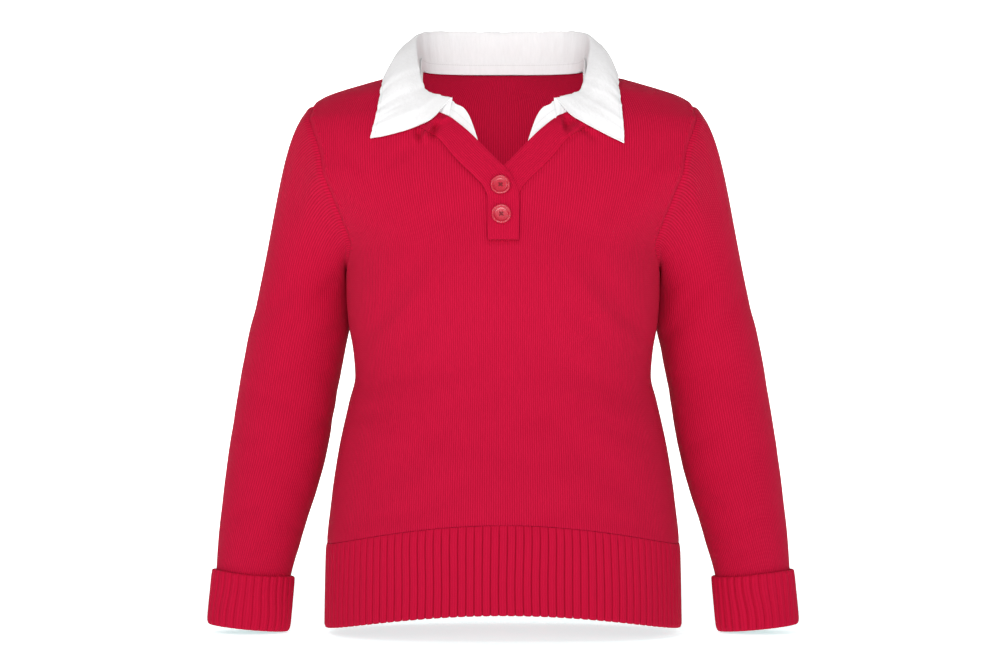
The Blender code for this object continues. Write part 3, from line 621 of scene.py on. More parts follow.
def sleeve_skin():
    """Points and normals from the armhole to inside the cuff, for x below 0."""
    turn = np.concatenate([np.arange(ROUND // 2 + 1), np.arange(-ROUND // 2 + 1, 0)])
    turn = turn * 2 * math.pi / ROUND
    ahead = turn >= 0
    places = np.where(ahead[:, None], armhole(np.abs(turn), False), armhole(np.abs(turn), True))
    seam = form(-places[:, 0], places[:, 1])
    seam_normals = body_normal(-places[:, 0], places[:, 1])
    first = sleeve_ring(*SLEEVE[0], turn)
    second = sleeve_ring(*SLEEVE[1], turn)
    along_seam = np.roll(seam, -1, axis=0) - np.roll(seam, 1, axis=0)
    leave = unit(np.cross(seam_normals, along_seam))
    turned = ((leave * (first - seam)).sum(-1) < 0) & (np.abs(turn) > 0.8)
    leave = np.where(turned[:, None], -leave, leave)
    height = ((1 - np.cos(turn)) / 2)[:, None]
    tuck = UNDERARM_TUCK * (1 - height) ** 2
    near = seam + leave * (6 + 32 * height ** 1.5) + seam_normals * tuck
    far = first - unit(second - first) * (8 + 94 * height ** 1.2) + seam_normals * tuck * 0.5
    t = (np.linspace(0, 1, HEAD_ROWS) ** 1.15)[:, None, None]
    head = (seam * (1 - t) ** 3 + near * 3 * t * (1 - t) ** 2
            + far * 3 * t * t * (1 - t) + first * t ** 3)
    index = np.linspace(0, len(SLEEVE) - 1, ARM_ROWS)[1:]
    table = np.column_stack([np.arange(len(SLEEVE)), SLEEVE])
    arm = [sleeve_ring(*[column(table, k, c) for c in range(1, 7)], turn) for k in index]
    grid = np.concatenate([head, np.array(arm)])
    normals = grid_normals(grid)
    own = np.minimum(1, t[:, 0] / 0.3)[..., None]
    normals[:HEAD_ROWS] = unit(seam_normals * (1 - own) + normals[:HEAD_ROWS] * own)
    return grid, normals, turn


def make_sleeve(name, side, node, finish):
    grid, normals, turn = sleeve_skin()
    degrees = np.degrees(turn)[None]
    wave = np.zeros(grid.shape[:2])
    for at, z, slope, length, width, depth in ARM_CREASES[side]:
        arc = np.radians((degrees - at + 180) % 360 - 180) * UPPER_ARM
        wave += crease(arc, grid[..., 2] - z, slope, length, width, CREASE_STRENGTH * depth)
    wave *= 0.25 + 0.75 * np.sin(np.radians(degrees)) ** 2
    down = run_of(grid)
    wave *= np.clip(down / 30, 0, 1) * np.clip((grid[..., 2] + 533) / 25, 0, 1)
    dip = 0.6 * hump(down - BESIDE_SEAM, BESIDE_WIDTH) - SEAM_DIP * hump(down, SEAM_WIDTH)
    start = unit(grid[1] - grid[0]) * SEAM_GAP * 1.3
    grid = grid.copy()
    grid[0] += start
    outer = grid + normals * (wave + dip)[..., None]
    inner = grid + normals * (wave + dip * 0.4 - KNIT)[..., None]
    wraps = run_of(np.concatenate([grid, grid[:, :1]], axis=1), 1)
    wraps = (wraps + np.linspace(0, UPPER_GIRTH, ROUND + 1)) / 2
    uv = np.stack([wraps, 600 - np.concatenate([down, down[:, :1]], axis=1)], axis=-1) / 1000
    if side > 0:
        outer, inner = outer * MIRROR, inner * MIRROR
    else:
        outer, inner, uv = outer[:, ::-1], inner[:, ::-1], uv[:, ::-1]
        outer, inner = np.roll(outer, 1, axis=1), np.roll(inner, 1, axis=1)
    thing = shell(name, outer[::-1], inner[::-1], uv[::-1], finish, closed=True)
    belongs(thing, node)
    return thing


make_sleeve("sleeve_knit_left", 1, "sleeve_left", crimson_knit)
make_sleeve("sleeve_knit_right", -1, "sleeve_right", crimson_knit)


# ---- Hem ribs ----------------------------------------------------------------------------
# The deep rib hangs from the panels' lower edges and is drawn up in the middle of the
# front. Every ridge is real, with a round fold at the bottom edge.
HEM_BOTTOM = -575.5
HEM_RIBS = 61
RIB = 3.0
RIB_PROUD = 0.7
GROOVE = 1.7
RIB_WALE = 2.7
SWAY = 0.07
LIP_TUCK = 3.2
LIP_WALL = 1.1
ACROSS_RIB = np.array([0, 0.06, 0.13, 0.22, 0.36, 0.5, 0.64, 0.78, 0.87, 0.94])
HEM_ROWS = 30
# The first colour, darker, is painted shade in the stitch grooves; the second is painted highlight
# on the crests, closer together than on the body.
crimson_rib = knitted("crimson_rib", (0.40, 0.0021, 0.0235), (0.505, 0.0042, 0.037),
                      0.0027, 0.0021, 0.00035)


def ridge(share):
    """Height of the rib from 0 in its groove to 1, at a share of its pitch."""
    return (1 - np.abs(2 * (share % 1) - 1) ** 3.6) ** 0.65


def make_hem(name, behind, node, finish):
    fine = np.linspace(math.pi / 2, math.pi * 3 / 2, 1441) - (0 if behind else math.pi)
    points = form(fine, np.full_like(fine, HEM_TOP), creased=False)
    run = run_of(points)
    count = (np.arange(HEM_RIBS)[:, None] + ACROSS_RIB).ravel()
    count = np.append(count, HEM_RIBS)
    share = np.linspace(0, 1, HEM_ROWS) ** 0.92
    share = np.concatenate([share[:-1], [0.985, 1.0]])
    sway = SWAY * np.sin(share * 5.2 + 1.1)[:, None] * np.sin(count / 4.3)[None]
    sway = sway * np.clip(np.minimum(count, HEM_RIBS - count), 0, 1)
    theta = np.interp((count + sway) / HEM_RIBS * run[-1], run, fine)
    curve = 1 - np.abs(np.sin(theta)) ** (4 / SQUARENESS)
    high, low = (LIFT_BACK, LIFT_BACK) if behind else (LIFT_TOP, LIFT_BOTTOM)
    top = HEM_TOP - 0.45 + high * curve
    bottom = HEM_BOTTOM + low * curve
    height = ridge(count)[None] + 0 * theta
    z = top + (bottom - top) * share[:, None] - 1.2 * height * (share[:, None] == 1)
    away = (top - z)
    up = z - bottom
    soft = np.clip(away / 7, 0.25, 1) ** 0.6
    lift = RIB_PROUD + 0.5 * soft - GROOVE * (1 - height) * soft
    lift = lift - 0.5 * hump(away, 2.2) - 1.3 * np.exp(-np.clip(up, 0, None) / 0.9)
    outer = body(theta, z, lift)
    inner = body(theta, z, RIB_PROUD - RIB + 0.7 * np.exp(-np.clip(up, 0, None) / 0.9))
    lip, lip_z = theta[:2], top[:2] + np.array([[3.0], [-0.1]])
    outer = np.concatenate([body(lip, lip_z, -LIP_TUCK), outer])
    inner = np.concatenate([body(lip, lip_z, -LIP_TUCK - LIP_WALL), inner])
    z = np.concatenate([lip_z, z])
    for grid in (outer, inner):
        grid[:, 0, 1] += 0.15 if behind else -0.15
        grid[:, -1, 1] += 0.15 if behind else -0.15
    uv = np.stack([count * 3 * RIB_WALE + 0 * z, z - FOOT], axis=-1) / 1000
    thing = shell(name, outer[::-1], inner[::-1], uv[::-1], finish, angle=75)
    belongs(thing, node)
    return thing


make_hem("hem_front", False, "hem_rib_front", crimson_rib)
make_hem("hem_back", True, "hem_rib_back", crimson_rib)


# ---- Cuffs -------------------------------------------------------------------------------
# Ribbed tubes sewn to the sleeve ends and turned back up outside them, so that each shows
# its rolled lower edge, the turned layer and its free top edge.
CUFF_TOP = np.array([-262.6, 8, -520.8])
CUFF_LEAN = 5.5
CUFF_RIBS = 30
CUFF_FLATTER = 12.4
CUFF_GROOVE = 2.1
CUFF_SWAY = 0.035

# half width, distance below the top edge, how strongly the ribs show
CUFF_SECTION = np.array([
    (42, 0, 0.7), (43.2, 0.4, 0.9), (43.9, 2.5, 1), (44.1, 8, 1), (44.2, 16, 1), (44.2, 25, 1),
    (44.3, 34, 1), (44.3, 43, 1), (44.2, 50, 1), (43.8, 54, 1), (42.8, 56.8, 0.9), (41.2, 58, 0.8),
    (39.3, 57.9, 0.7), (37.6, 56.2, 0.6), (36.8, 53, 0.5), (36.7, 44, 0.5), (36.7, 30, 0.5),
    (36.7, 16, 0.4), (36.9, 13.2, 0.2), (38.9, 13.2, 0), (39.2, 16, 0), (39.2, 34, 0),
    (39.3, 50.5, 0), (39.8, 51.8, 0), (40.3, 50.5, 0), (40.4, 34, 0), (40.4, 16, 0), (40.4, 2, 0.1),
    (41, 0.3, 0.4),
])


def make_cuff(name, side, node, finish):
    lean = math.radians(CUFF_LEAN)
    across = np.array([-math.cos(lean), 0, math.sin(lean)])
    downward = np.array([-math.sin(lean), 0, -math.cos(lean)])
    count = (np.arange(CUFF_RIBS)[:, None] + ACROSS_RIB).ravel()
    angle = 2 * math.pi * count / CUFF_RIBS
    height = ridge(count)
    closed_section = np.vstack([CUFF_SECTION, CUFF_SECTION[:1]])
    table = np.column_stack([np.arange(len(closed_section)), closed_section])
    steps = np.linspace(0, len(closed_section) - 1, 74)[:-1]
    rings = []
    for k in steps:
        radius, below, strength = [column(table, k, c) for c in (1, 2, 3)]
        cut = CUFF_GROOVE * (1 - height) * strength
        wave = 0.5 * np.sin(angle * 3 + 0.8 + side) * min(1, max(0, 1 - below / 20)) * strength
        wide = radius - cut
        deep = radius - CUFF_FLATTER - cut
        turn = angle + CUFF_SWAY * math.sin(below / 11 + 0.6) * np.sin(angle * 2 + 0.9 + side)
        points = (CUFF_TOP + np.outer(wide * np.cos(turn), across)
                  + (below + wave)[:, None] * downward)
        points[:, 1] += deep * np.sin(turn)
        rings.append(points)
    grid = np.array(rings)
    run = np.insert(np.cumsum(norm(np.diff(grid, axis=0)).mean(1)), 0, 0)
    if side > 0:
        grid = grid[:, ::-1] * MIRROR
    rows, columns = grid.shape[:2]
    around, below = np.append(count, CUFF_RIBS) * 3 * RIB_WALE, np.append(run, run[-1] + 1.2)
    faces, spots = [], []
    for i in range(rows):
        for j in range(columns):
            corners = [(i, j), (i + 1, j), (i + 1, j + 1), (i, j + 1)]
            faces.append([a % rows * columns + b % columns for a, b in corners])
            spots += [(around[b], below[a]) for a, b in corners]
    thing = made(name, grid.reshape(-1, 3), faces, finish, np.array(spots) / 1000)
    belongs(thing, node)
    return thing


make_cuff("cuff_rib_left", 1, "cuff_left", crimson_rib)
make_cuff("cuff_rib_right", -1, "cuff_right", crimson_rib)


# ---- Neck bands and placket --------------------------------------------------------------
# One knitted strip runs down each side of the V. The one at the viewer's left lies on top
# at the placket, a little proud, with a turned edge and its stitches running along it.
OVER_LIFT = 2.5
BAND = 2.0
BAND_FINE = 9
BAND_COLUMNS = 14
# The first colour, darker, is painted shade in the stitch grooves; the second is painted highlight
# on the crests.
crimson_band = knitted("crimson_band", (0.38, 0.0020, 0.022), (0.54, 0.0050, 0.041),
                       0.0023, 0.0019, 0.0005)


def make_band(name, side, node, finish):
    over = side < 0
    edge_x = NECK[:, 2] if over else np.minimum(NECK[:, 2], -NECK[0, 0])
    table = []
    for k in range(len(NECK)):
        row = [k]
        last = k == len(NECK) - 1
        for share in (0, 1 / 3, 2 / 3, 1):
            x = (NECK[k, 0] * (1 - share) + edge_x[k] * share) * -side
            z = NECK[k, 1] * (1 - share) + NECK[k, 3] * share
            row += [math.pi / 2 * side if last else float(theta_at(x, z)), z]
        table.append(row)
    table = np.array(table, float)
    at = np.linspace(0, len(NECK) - 1, (len(NECK) - 1) * BAND_FINE + 1)
    rows = np.stack([column(table, at, c) for c in range(1, 9)], axis=-1).reshape(len(at), 4, 2)
    share = np.linspace(0, 1, BAND_COLUMNS + 1)
    places = np.array([[np.interp(share * 3, range(4), row[:, c]) for c in (0, 1)] for row in rows])
    places = places.transpose(0, 2, 1)
    theta, z = places[..., 0], places[..., 1]
    flat = form(theta, z)
    width = norm(np.diff(flat, axis=1)).sum(1)[:, None]
    from_seam = share[None] * width
    from_fold = width - from_seam
    up = (OVER_LIFT * np.clip((6 - at) / 3, 0, 1) if over else 0 * at)[:, None]
    lift = up - 1.2 * hump(from_seam, 1.8) - 0.8 * hump(from_fold, 1.3)
    lift = lift + 0.45 * hump(from_seam - 4.2, 1.8)
    lift = lift - 0.55 * hump(from_fold - 6.0, 1.4) * np.clip(at[:, None] - 1.5, 0, 1)
    outer = body(theta, z, lift)
    inner = body(theta, z, up - BAND + 0 * lift)
    uv = np.stack([from_seam + 0 * lift, run_of(flat.mean(1))[:, None] + 0 * lift], axis=-1) / 1000
    if side > 0:
        outer, inner, uv = outer[:, ::-1], inner[:, ::-1], uv[:, ::-1]
    inset = SEAM_GAP / 2
    for grid in (outer, inner):
        grid[:, 0] += unit(outer[:, 1] - outer[:, 0]) * inset
        grid[:, -1] += unit(outer[:, -2] - outer[:, -1]) * inset
    thing = shell(name, outer, inner, uv, finish)
    belongs(thing, node)
    return thing


make_band("band_over", -1, "placket_over", crimson_band)
make_band("band_under", 1, "placket_under", crimson_band)


# ---- Collar ------------------------------------------------------------------------------
# White woven cotton with a fine vertical crinkle. The stand rises from the neck seam, rolls
# over and falls as a leaf onto the knit, and its edge is turned and stitched.

# fold x, fold y, fold z, edge x, edge z, roll, 1 for behind, from centre back to the front
COLLAR = np.array([
    (0, 72, 54, 0, 0, 9, 1), (-39, 68, 54, -54, 0, 9, 1), (-67, 54, 53, -90, -1, 10, 1),
    (-84, 33, 49.5, -108, -3, 12, 1), (-91, 7, 41, -121, -2.6, 12, 0),
    (-89.5, -24, 18, -124.5, -14, 10, 0), (-85, -47, -4, -126.5, -30, 9, 0),
    (-79, -60, -19, -129, -46, 7, 0), (-66, -69, -25, -132, -60, 5, 0),
    (-52, -76, -29.5, -134.5, -71, 4, 0),
])
RIGHT_EDGE = {4: (-118.5, -2.6), 5: (-118.5, -14), 6: (-120, -30), 7: (-121.5, -47),
              8: (-122.5, -64), 9: (-122.5, -76)}
# how far the leaf's lower edge sags at each of the last rows, and its share on the right
LEAF_SAG = {9: 19.0, 8: 9.0, 7: 3.0}
RIGHT_SAG = 0.66
CLOTH = 1.2
FOLD_TURN = 2.2
LEAF_GAP = 3.0
COLLAR_FINE = 8
ROLL_FINE = 6
STAND_STEPS = 3
LEAF_STEPS = 6


def outside(points):
    """How far points lie outside the body, roughly, and which way is out."""
    def level(p):
        z = p[..., 2]
        depth = np.where(p[..., 1] < SEAM_Y, column(BODY, z, 2), column(BODY, z, 3))
        share = ((np.abs(p[..., 0]) / column(BODY, z, 1)) ** SQUARENESS
                 + (np.abs(p[..., 1] - SEAM_Y) / depth) ** SQUARENESS)
        return share ** (1 / SQUARENESS) - 1
    slope = np.stack([level(points + step) - level(points - step) for step in np.eye(3) / 2], -1)
    steep = np.maximum(np.linalg.norm(slope, axis=-1, keepdims=True), 1e-6)
    return level(points)[..., None] / steep, slope / steep


def kept_out(points, gap):
    for _ in range(6):
        distance, way = outside(points)
        points = points + way * np.maximum(0, gap - distance)
    return points


def shoulder_height(x):
    """The height of the shoulder seam at a distance from the middle."""
    low, high = float(SHOULDER), 30.0
    for _ in range(30):
        middle = (low + high) / 2
        low, high = (middle, high) if column(BODY, middle, 1) > x else (low, middle)
    return low


def knit_at(x, z, lift):
    z = min(z, shoulder_height(abs(x)))
    return body(float(theta_at(x, z)), z, lift)


def collar_line(k, side):
    """The cloth's middle points at one row of the table, from the seam to the leaf's edge."""
    fold_x, fold_y, fold_z, edge_x, edge_z, roll, behind = COLLAR[k]
    if behind:
        theta = -math.pi + math.pi / 2 * k / 4
        seam, within = [body(theta, BACK_NECK - below, -KNIT / 2) for below in (0, 4)]
    else:
        neck = NECK[len(NECK) + 4 - k - 1]
        seam, within = [knit_at(neck[2] - in_by, neck[3], -KNIT / 2) for in_by in (0, 4)]
    if side > 0 and k in RIGHT_EDGE:
        edge_x, edge_z = RIGHT_EDGE[k]
    edge_theta = float(theta_at(edge_x or -1e-6, edge_z))
    edge = body(-math.pi - edge_theta if behind else edge_theta, edge_z, 3.2)
    fold = np.array([fold_x, fold_y, fold_z])
    upward = unit(fold - seam)
    seam = seam + unit(seam - within) * (SEAM_GAP * 1.5 + CLOTH / 2)
    outward = unit((edge - fold) * np.array([1, 1, 0]))
    points = [seam + (fold - seam) * t / STAND_STEPS for t in range(STAND_STEPS)]
    points += [fold - upward * FOLD_TURN - outward * 0.3, fold + outward * FOLD_TURN]
    start = fold + outward * 2 * FOLD_TURN - upward * FOLD_TURN * 1.2
    control = (fold + edge) / 2 + outward * roll * 0.5 + np.array([0, 0, roll])
    shares = np.arange(1, LEAF_STEPS + 1) / LEAF_STEPS
    points += [start * (1 - t) ** 2 + control * 2 * t * (1 - t) + edge * t * t for t in shares]
    points = np.array(points)
    leaf = STAND_STEPS + 2
    sag = LEAF_SAG.get(k, 0.0) * (RIGHT_SAG if side > 0 else 1)
    points[leaf:, 2] -= sag * np.sin(math.pi * shares ** 0.6) ** 0.8
    points[leaf:] = kept_out(points[leaf:], LEAF_GAP)
    return points


def smoothed(grid, fine, axis):
    """More points between those of a grid along one axis, on a curve through them all."""
    grid = np.moveaxis(grid, axis, 0)
    count = len(grid)
    at = np.linspace(0, count - 1, (count - 1) * fine + 1)
    i = np.minimum(at.astype(int), count - 2)
    t = (at - i).reshape(-1, *[1] * (grid.ndim - 1))
    ends = np.concatenate([grid[:1] * 2 - grid[1:2], grid, grid[-1:] * 2 - grid[-2:-1]])
    a, b, c, d = ends[i], ends[i + 1], ends[i + 2], ends[i + 3]
    line = (b * 2 + (c - a) * t + (a * 2 - b * 5 + c * 4 - d) * t * t
            + (b * 3 - a - c * 3 + d) * t ** 3) / 2
    return np.moveaxis(line, 0, axis)


# Crinkled cotton: narrow uneven ripples that run down the cloth, over a fine plain weave.
tree, given, result = effect("crinkle", {}, ["Height", "Tone"])
ripple = noise(tree, scaled(tree, given["Place"], (330.0, 330.0, 46.0)), 1.0, 3.0, 0.55)
swell = noise(tree, scaled(tree, given["Place"], (90.0, 90.0, 30.0)), 1.0, 2.0, 0.5)
parts = wire(tree, "SeparateXYZ", given["Place"])
threads = [maths(tree, "SINE", maths(tree, "MULTIPLY", parts.outputs[k], 9000.0)) for k in (0, 2)]
weave = maths(tree, "MULTIPLY", threads[0], threads[1])
rise = maths(tree, "MULTIPLY_ADD", weave, 0.03, ripple)
rise = maths(tree, "ADD", rise, maths(tree, "MULTIPLY", swell, 0.8))
# Tone follows the ripples, darker in their troughs and lighter on their crests: painted shade and
# painted highlight.
feed(result, (rise, maths(tree, "MULTIPLY_ADD", ripple, 0.1, 0.93)))

# Stitching: a broken line of thread at a distance from the cloth's edge.
tree, given, result = effect("stitching", {"From edge": 0.005, "Stitch": 0.0026}, ["Thread"])
parts = wire(tree, "SeparateXYZ", given["Place"])
away = maths(tree, "ABSOLUTE", maths(tree, "SUBTRACT", parts.outputs[1], given["From edge"]))
line = maths(tree, "LESS_THAN", away, 0.0004)
dash = maths(tree, "FRACT", maths(tree, "DIVIDE", parts.outputs[0], given["Stitch"]))
# The Thread mask also darkens the cloth's colour in cotton(): painted shade along the stitches,
# since thread and cloth are the same white.
feed(result, [maths(tree, "MULTIPLY", line, maths(tree, "LESS_THAN", dash, 0.78))])


def cotton(name, colour, from_edge):
    finish, tree, shader, where = new_finish(name)
    place = wire(tree, "UVMap", uv_map="stitches").outputs[0]
    height, tone = worked(tree, "crinkle", where)
    thread, = worked(tree, "stitching", place, from_edge)
    # The cloth's colour times the crinkle's painted shade, and darkened along the stitching as
    # painted shade in its dimples.
    colour_with_painted_shade = scaled(tree, colour, maths(tree, "MULTIPLY_ADD", thread, -0.13, tone))
    rise = maths(tree, "MULTIPLY_ADD", thread, 0.35, height)
    named(shader, Base_Color=colour_with_painted_shade, Normal=bumped(tree, rise, 0.55, 0.0006), Roughness=0.82,
          Specular_IOR_Level=0.3, Sheen_Weight=0.12)
    return finish


WHITE = (0.85, 0.84, 0.845)
white_cotton = cotton("white_cotton", WHITE, 0.0045)
rows = [collar_line(k, -1) for k in range(len(COLLAR) - 1, 0, -1)]
rows += [collar_line(k, 1) * MIRROR for k in range(len(COLLAR))]
coarse = np.array(rows)
grid = smoothed(smoothed(coarse, COLLAR_FINE, 0), ROLL_FINE, 1)
normals = grid_normals(grid, closed=False)
station = np.linspace(-9, 9, len(grid))[:, None]
across = np.linspace(0, 1, grid.shape[1])[None]
fall = np.clip((across - 0.5) * 2, 0, 1)
ripple = (0.55 * np.sin(station * 7.3 + 0.6) + 0.4 * np.sin(station * 12.1 + 2.0)
          + 0.3 * np.sin(station * 19.7 + across * 2))
grid = grid + normals * (ripple * (0.25 + 0.55 * fall ** 2 + 0.2 * (across < 0.4)))[..., None]
normals = grid_normals(grid, closed=False)
from_edge = run_of(grid[:, ::-1], 1)[:, ::-1]
uv = np.stack([run_of(grid[:, -1])[:, None] + 0 * from_edge, from_edge], axis=-1) / 1000
plump = CLOTH / 2 + 0.35 * np.exp(-(from_edge / 4.2) ** 6)
collar = shell("collar_cotton", grid + normals * plump[..., None], grid - normals * CLOTH / 2, uv,
               white_cotton)
belongs(collar, "collar")


# ---- Neck tape ---------------------------------------------------------------------------
# A narrow white tape covers the seam inside the neck, and its ends run down inside the V.
TAPE = 0.9
TAPE_WIDTH = 13
# x, z and width where each end runs down inside the V
TAPE_END = [(-50, -50.5, 20), (-43.5, -56, 22.5), (-37, -62, 19), (-31, -68, 11), (-25, -75, 2)]
white_tape = cotton("white_tape", WHITE, 0.0105)
inset = KNIT / 2 + 0.4 + TAPE
stations = []
for k in range(len(COLLAR)):
    points = collar_line(k, -1)
    low, high = points[0], points[STAND_STEPS]
    upward = unit(high - low)
    width = min(TAPE_WIDTH, norm(high - low) * 0.8)
    if k == len(COLLAR) - 1:
        width = norm(high - low) * 1.08
    stations.append([low + upward * (width * t - 0.6) for t in (0, 0.5, 1)])
for x, z, width in TAPE_END:
    low = body(float(theta_at(x, z)), z, -KNIT / 2)
    stations.append([low + upward * width * t for t in (0, 0.5, 1)])
coarse = np.array(stations)
coarse = np.concatenate([coarse[:0:-1], coarse * MIRROR])
grid = smoothed(smoothed(coarse, 8, 0), 4, 1)
normals = grid_normals(grid, closed=False)
up = run_of(grid, 1)
uv = np.stack([run_of(grid[:, 0])[:, None] + 0 * up, up], axis=-1) / 1000
tape = shell("tape_cotton", grid - normals * (inset - TAPE), grid - normals * inset, uv, white_tape)
belongs(tape, "neck_tape")


# ---- Buttons -----------------------------------------------------------------------------
# Two glossy coral-red buttons with a raised rim, a dished middle and four holes, sewn on
# with crossed red thread.
BUTTONS = {"button_top": (-2.6, -120), "button_bottom": (-1.7, -149.5)}
PROFILE = [(0, 0), (6, 0), (8.6, 0), (9.3, 0.25), (9.75, 0.8), (9.98, 1.4), (9.95, 2.0), (9.7, 2.5),
           (9.3, 2.85), (8.8, 3.0), (8.3, 2.95), (7.9, 2.7), (7.5, 2.25), (7.1, 1.8), (6.7, 1.5),
           (6.1, 1.36), (5.0, 1.3), (3.4, 1.26), (1.6, 1.25), (0, 1.25)]
AROUND = 72
HOLE_RADIUS = 1.25
HOLE_APART = 3.9
BUTTON_SEAT = 0.45
THREAD = 0.34
THREAD_SIDE = 0.32
THREAD_HIGH = 1.65

plastic, tree, shader, where = new_finish("coral_plastic")
cloud = noise(tree, where, 210.0, 2.0, 0.5)
colour = blend(tree, cloud, (0.43, 0.010, 0.030), (0.52, 0.017, 0.043))
worn = maths(tree, "MULTIPLY_ADD", noise(tree, where, 900.0, 2.0, 0.5), 0.16, 0.17)
named(shader, Base_Color=colour, Roughness=worn, Coat_Weight=0.12, Coat_Roughness=0.12,
      Subsurface_Weight=0.04, Subsurface_Radius=(1.0, 0.2, 0.2), Subsurface_Scale=0.002)

yarn_thread, tree, shader, where = new_finish("red_thread")
twist = maths(tree, "MULTIPLY_ADD", wire(tree, "TexWave", where, 900.0).outputs[1], 0.4, 0.7)
named(shader, Base_Color=scaled(tree, (0.22, 0.004, 0.014), twist), Roughness=0.7)


def lathe(rows, seat, across, upward, normal, name):
    """A turned mesh from radius and height rows, centred on its seat."""
    angle = np.arange(AROUND) * 2 * math.pi / AROUND
    points, start, faces = [], [], []
    for radius, height in rows:
        start.append(len(points))
        count = AROUND if radius else 1
        ring = (seat + np.outer(np.cos(angle[:count]) * radius, across)
                + np.outer(np.sin(angle[:count]) * radius, upward) + normal * height)
        points += ring.tolist()
    for a, b, low, high in zip(rows, rows[1:], start, start[1:]):
        for k in range(AROUND):
            k2 = (k + 1) % AROUND
            if not a[0]:
                faces.append((low, high + k, high + k2))
            elif not b[0]:
                faces.append((low + k, high, low + k2))
            else:
                faces.append((low + k, high + k, high + k2, low + k2))
    return made(name, points, faces)


def thread_tube(points, radius):
    """Points and faces of a round thread along a line."""
    points = np.array(points, float)
    way = unit(np.gradient(points, axis=0))
    side = unit(np.cross(way, np.array([0.3, 1.0, 0.2])))
    other = np.cross(way, side)
    angle = np.arange(8) * math.pi / 4
    rings = (points[:, None] + side[:, None] * np.cos(angle)[None, :, None] * radius
             + other[:, None] * np.sin(angle)[None, :, None] * radius)
    faces = []
    for i in range(len(points) - 1):
        for k in range(8):
            k2 = (k + 1) % 8
            faces.append((i * 8 + k, i * 8 + k2, i * 8 + 8 + k2, i * 8 + 8 + k))
    faces.append(tuple(range(8))[::-1])
    faces.append(tuple((len(points) - 1) * 8 + k for k in range(8)))
    return rings.reshape(-1, 3), faces


for name, (x, z) in BUTTONS.items():
    theta = float(theta_at(x, z))
    normal = body_normal(np.float64(theta), np.float64(z))
    seat = body(theta, z, OVER_LIFT + BUTTON_SEAT)
    upward = unit(np.array([0, 0, 1]) - normal * normal[2])
    across = np.cross(upward, normal)
    button = lathe(PROFILE, seat, across, upward, normal, name + "_coral")
    reach = HOLE_APART / 2
    holes = [(-reach, -reach), (reach, -reach), (reach, reach), (-reach, reach)]
    for k, (a, b) in enumerate(holes):
        place = seat + across * a + upward * b
        drill = lathe([(0, -1), (HOLE_RADIUS, -1), (HOLE_RADIUS, 4), (0, 4)], place,
                      across, upward, normal, f"{name}_drill_{k}")
        cut = button.modifiers.new(f"hole_{k}", "BOOLEAN")
        cut.object = drill
        cut.solver = "EXACT"
    bpy.context.view_layer.update()
    drilled = button.evaluated_get(bpy.context.evaluated_depsgraph_get())
    cut_mesh = bpy.data.meshes.new_from_object(drilled)
    button.modifiers.clear()
    button.data = cut_mesh
    for k in range(4):
        bpy.data.objects.remove(bpy.data.objects[f"{name}_drill_{k}"])
    button.data.shade_smooth()
    button.data.set_sharp_from_angle(angle=math.radians(40))
    button.data.materials.clear()
    button.data.materials.append(plastic)
    belongs(button, name)
    points, faces = [], []
    for start, end, rise in ((0, 2, 0.0), (1, 3, 0.25)):
        (a, b), (c, d) = holes[start], holes[end]
        for shift in (-THREAD_SIDE, THREAD_SIDE):
            off = np.array([-(d - b), c - a]) / math.hypot(c - a, d - b) * shift
            line = []
            for t in np.linspace(0, 1, 13):
                drop = -1.6 * max(0, abs(2 * t - 1) - 0.86) / 0.14
                height = THREAD_HIGH + rise * math.sin(math.pi * t) + drop
                line.append(seat + across * (a + (c - a) * t + off[0])
                            + upward * (b + (d - b) * t + off[1]) + normal * height)
            more, shapes = thread_tube(line, THREAD)
            faces += [tuple(len(points) + q for q in shape) for shape in shapes]
            points += more.tolist()
    belongs(made(name + "_thread", points, faces, yarn_thread))


# ---- Stage -------------------------------------------------------------------------------
# A white floor that curves up into a backdrop, soft light from large panels, and the
# camera level with the middle of the garment, 3 m in front of it.
FLOOR = -583.8
PAPER_HALF = 9000
PAPER_FLAT = 5000
PAPER_BEND = 1400
PAPER_HEIGHT = 6000
paper, tree, shader, where = new_finish("paper")
# The paper glows as well as being lit. Near the garment its glow is weaker and tinted cyan, painted
# light that keeps the shadow under the hem and cuffs pale and cancels the red the garment throws
# onto it; further out it glows evenly white.
flat = scaled(tree, where, (1, 1, 0))
away = wire(tree, "VectorMath", flat, operation="LENGTH").outputs["Value"]
fade = wire(tree, "MapRange", away, 0.45, 1.5).outputs[0]
named(shader, Base_Color=(0.92, 0.92, 0.92, 1), Roughness=0.9, Specular_IOR_Level=0.1,
      Emission_Color=blend(tree, fade, (0.72, 1, 1), (1, 1, 1)),
      Emission_Strength=maths(tree, "MULTIPLY_ADD", fade, 0.3, 0.72))
turns = np.linspace(0, math.pi / 2, 20)[1:]
line = [(-PAPER_HALF, 0), (PAPER_FLAT, 0)]
line += [(PAPER_FLAT + PAPER_BEND * math.sin(a), PAPER_BEND - PAPER_BEND * math.cos(a))
         for a in turns]
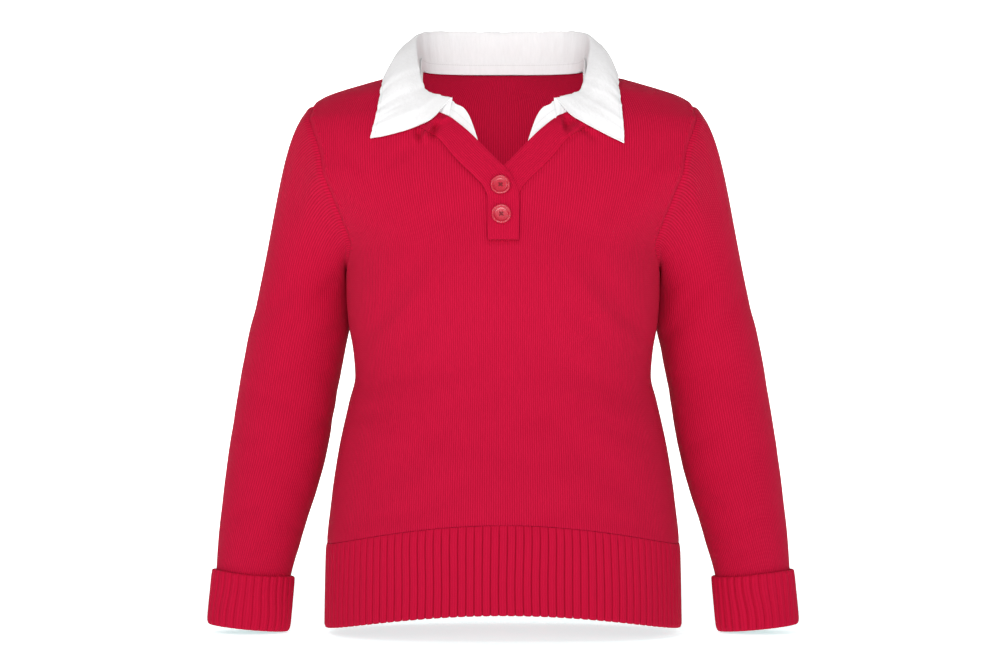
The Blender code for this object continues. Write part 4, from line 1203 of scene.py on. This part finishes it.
line.append((PAPER_FLAT + PAPER_BEND, PAPER_HEIGHT))
points = [(x, y, FLOOR + z) for y, z in line for x in (-PAPER_HALF, PAPER_HALF)]
faces = [(2 * k, 2 * k + 1, 2 * k + 3, 2 * k + 2) for k in range(len(line) - 1)]
made("backdrop", points, faces, paper)

# name, place, target, width, height, watts; the last is within, for the back of the neck
LIGHTS = [
    ("key", (-1.6, -2.7, 1.7), (0, 0, -0.25), 1.1, 1.1, 30),
    ("fill", (2.0, -2.6, 0.5), (0, 0, -0.3), 1.9, 1.9, 10),
    ("front", (0.1, -3.5, 0.25), (0, 0, -0.15), 1.3, 1.0, 46),
    ("top", (0, -0.4, 2.3), (0, 0.1, -0.3), 2.2, 1.6, 5),
    ("inside", (0, -0.04, -0.38), (0, 0.1, -0.03), 0.16, 0.06, 0.75),
]
for name, place, target, width, height, watts in LIGHTS:
    light = bpy.data.lights.new(name, "AREA")
    light.shape = "RECTANGLE"
    light.size = width
    light.size_y = height
    light.energy = watts
    light.color = (0.72, 1, 1) if name == "inside" else (1, 1, 1)
    lamp = bpy.data.objects.new(name, light)
    lamp.location = place
    lamp.visible_camera = False
    way = np.array(target) - np.array(place)
    lamp.rotation_euler = (math.acos(-way[2] / np.linalg.norm(way)), 0, math.atan2(-way[0], way[1]))
    bpy.context.scene.collection.objects.link(lamp)

world = bpy.data.worlds.new("studio")
world.use_nodes = True
world.node_tree.nodes["Background"].inputs[0].default_value = (1, 1, 1, 1)
world.node_tree.nodes["Background"].inputs[1].default_value = 0.25
bpy.context.scene.world = world
bpy.context.scene.view_settings.view_transform = "Standard"

SENSOR = 36
AWAY = 3.0
FRAME_WIDTH = 1.0584
EYE_LEVEL = -0.272
lens = bpy.data.cameras.new("camera")
lens.sensor_width = SENSOR
lens.lens = SENSOR * AWAY / FRAME_WIDTH
camera = bpy.data.objects.new("camera", lens)
camera.location = (0.001, -AWAY, EYE_LEVEL)
camera.rotation_euler = (math.pi / 2, 0, 0)
bpy.context.scene.collection.objects.link(camera)
bpy.context.scene.camera = camera
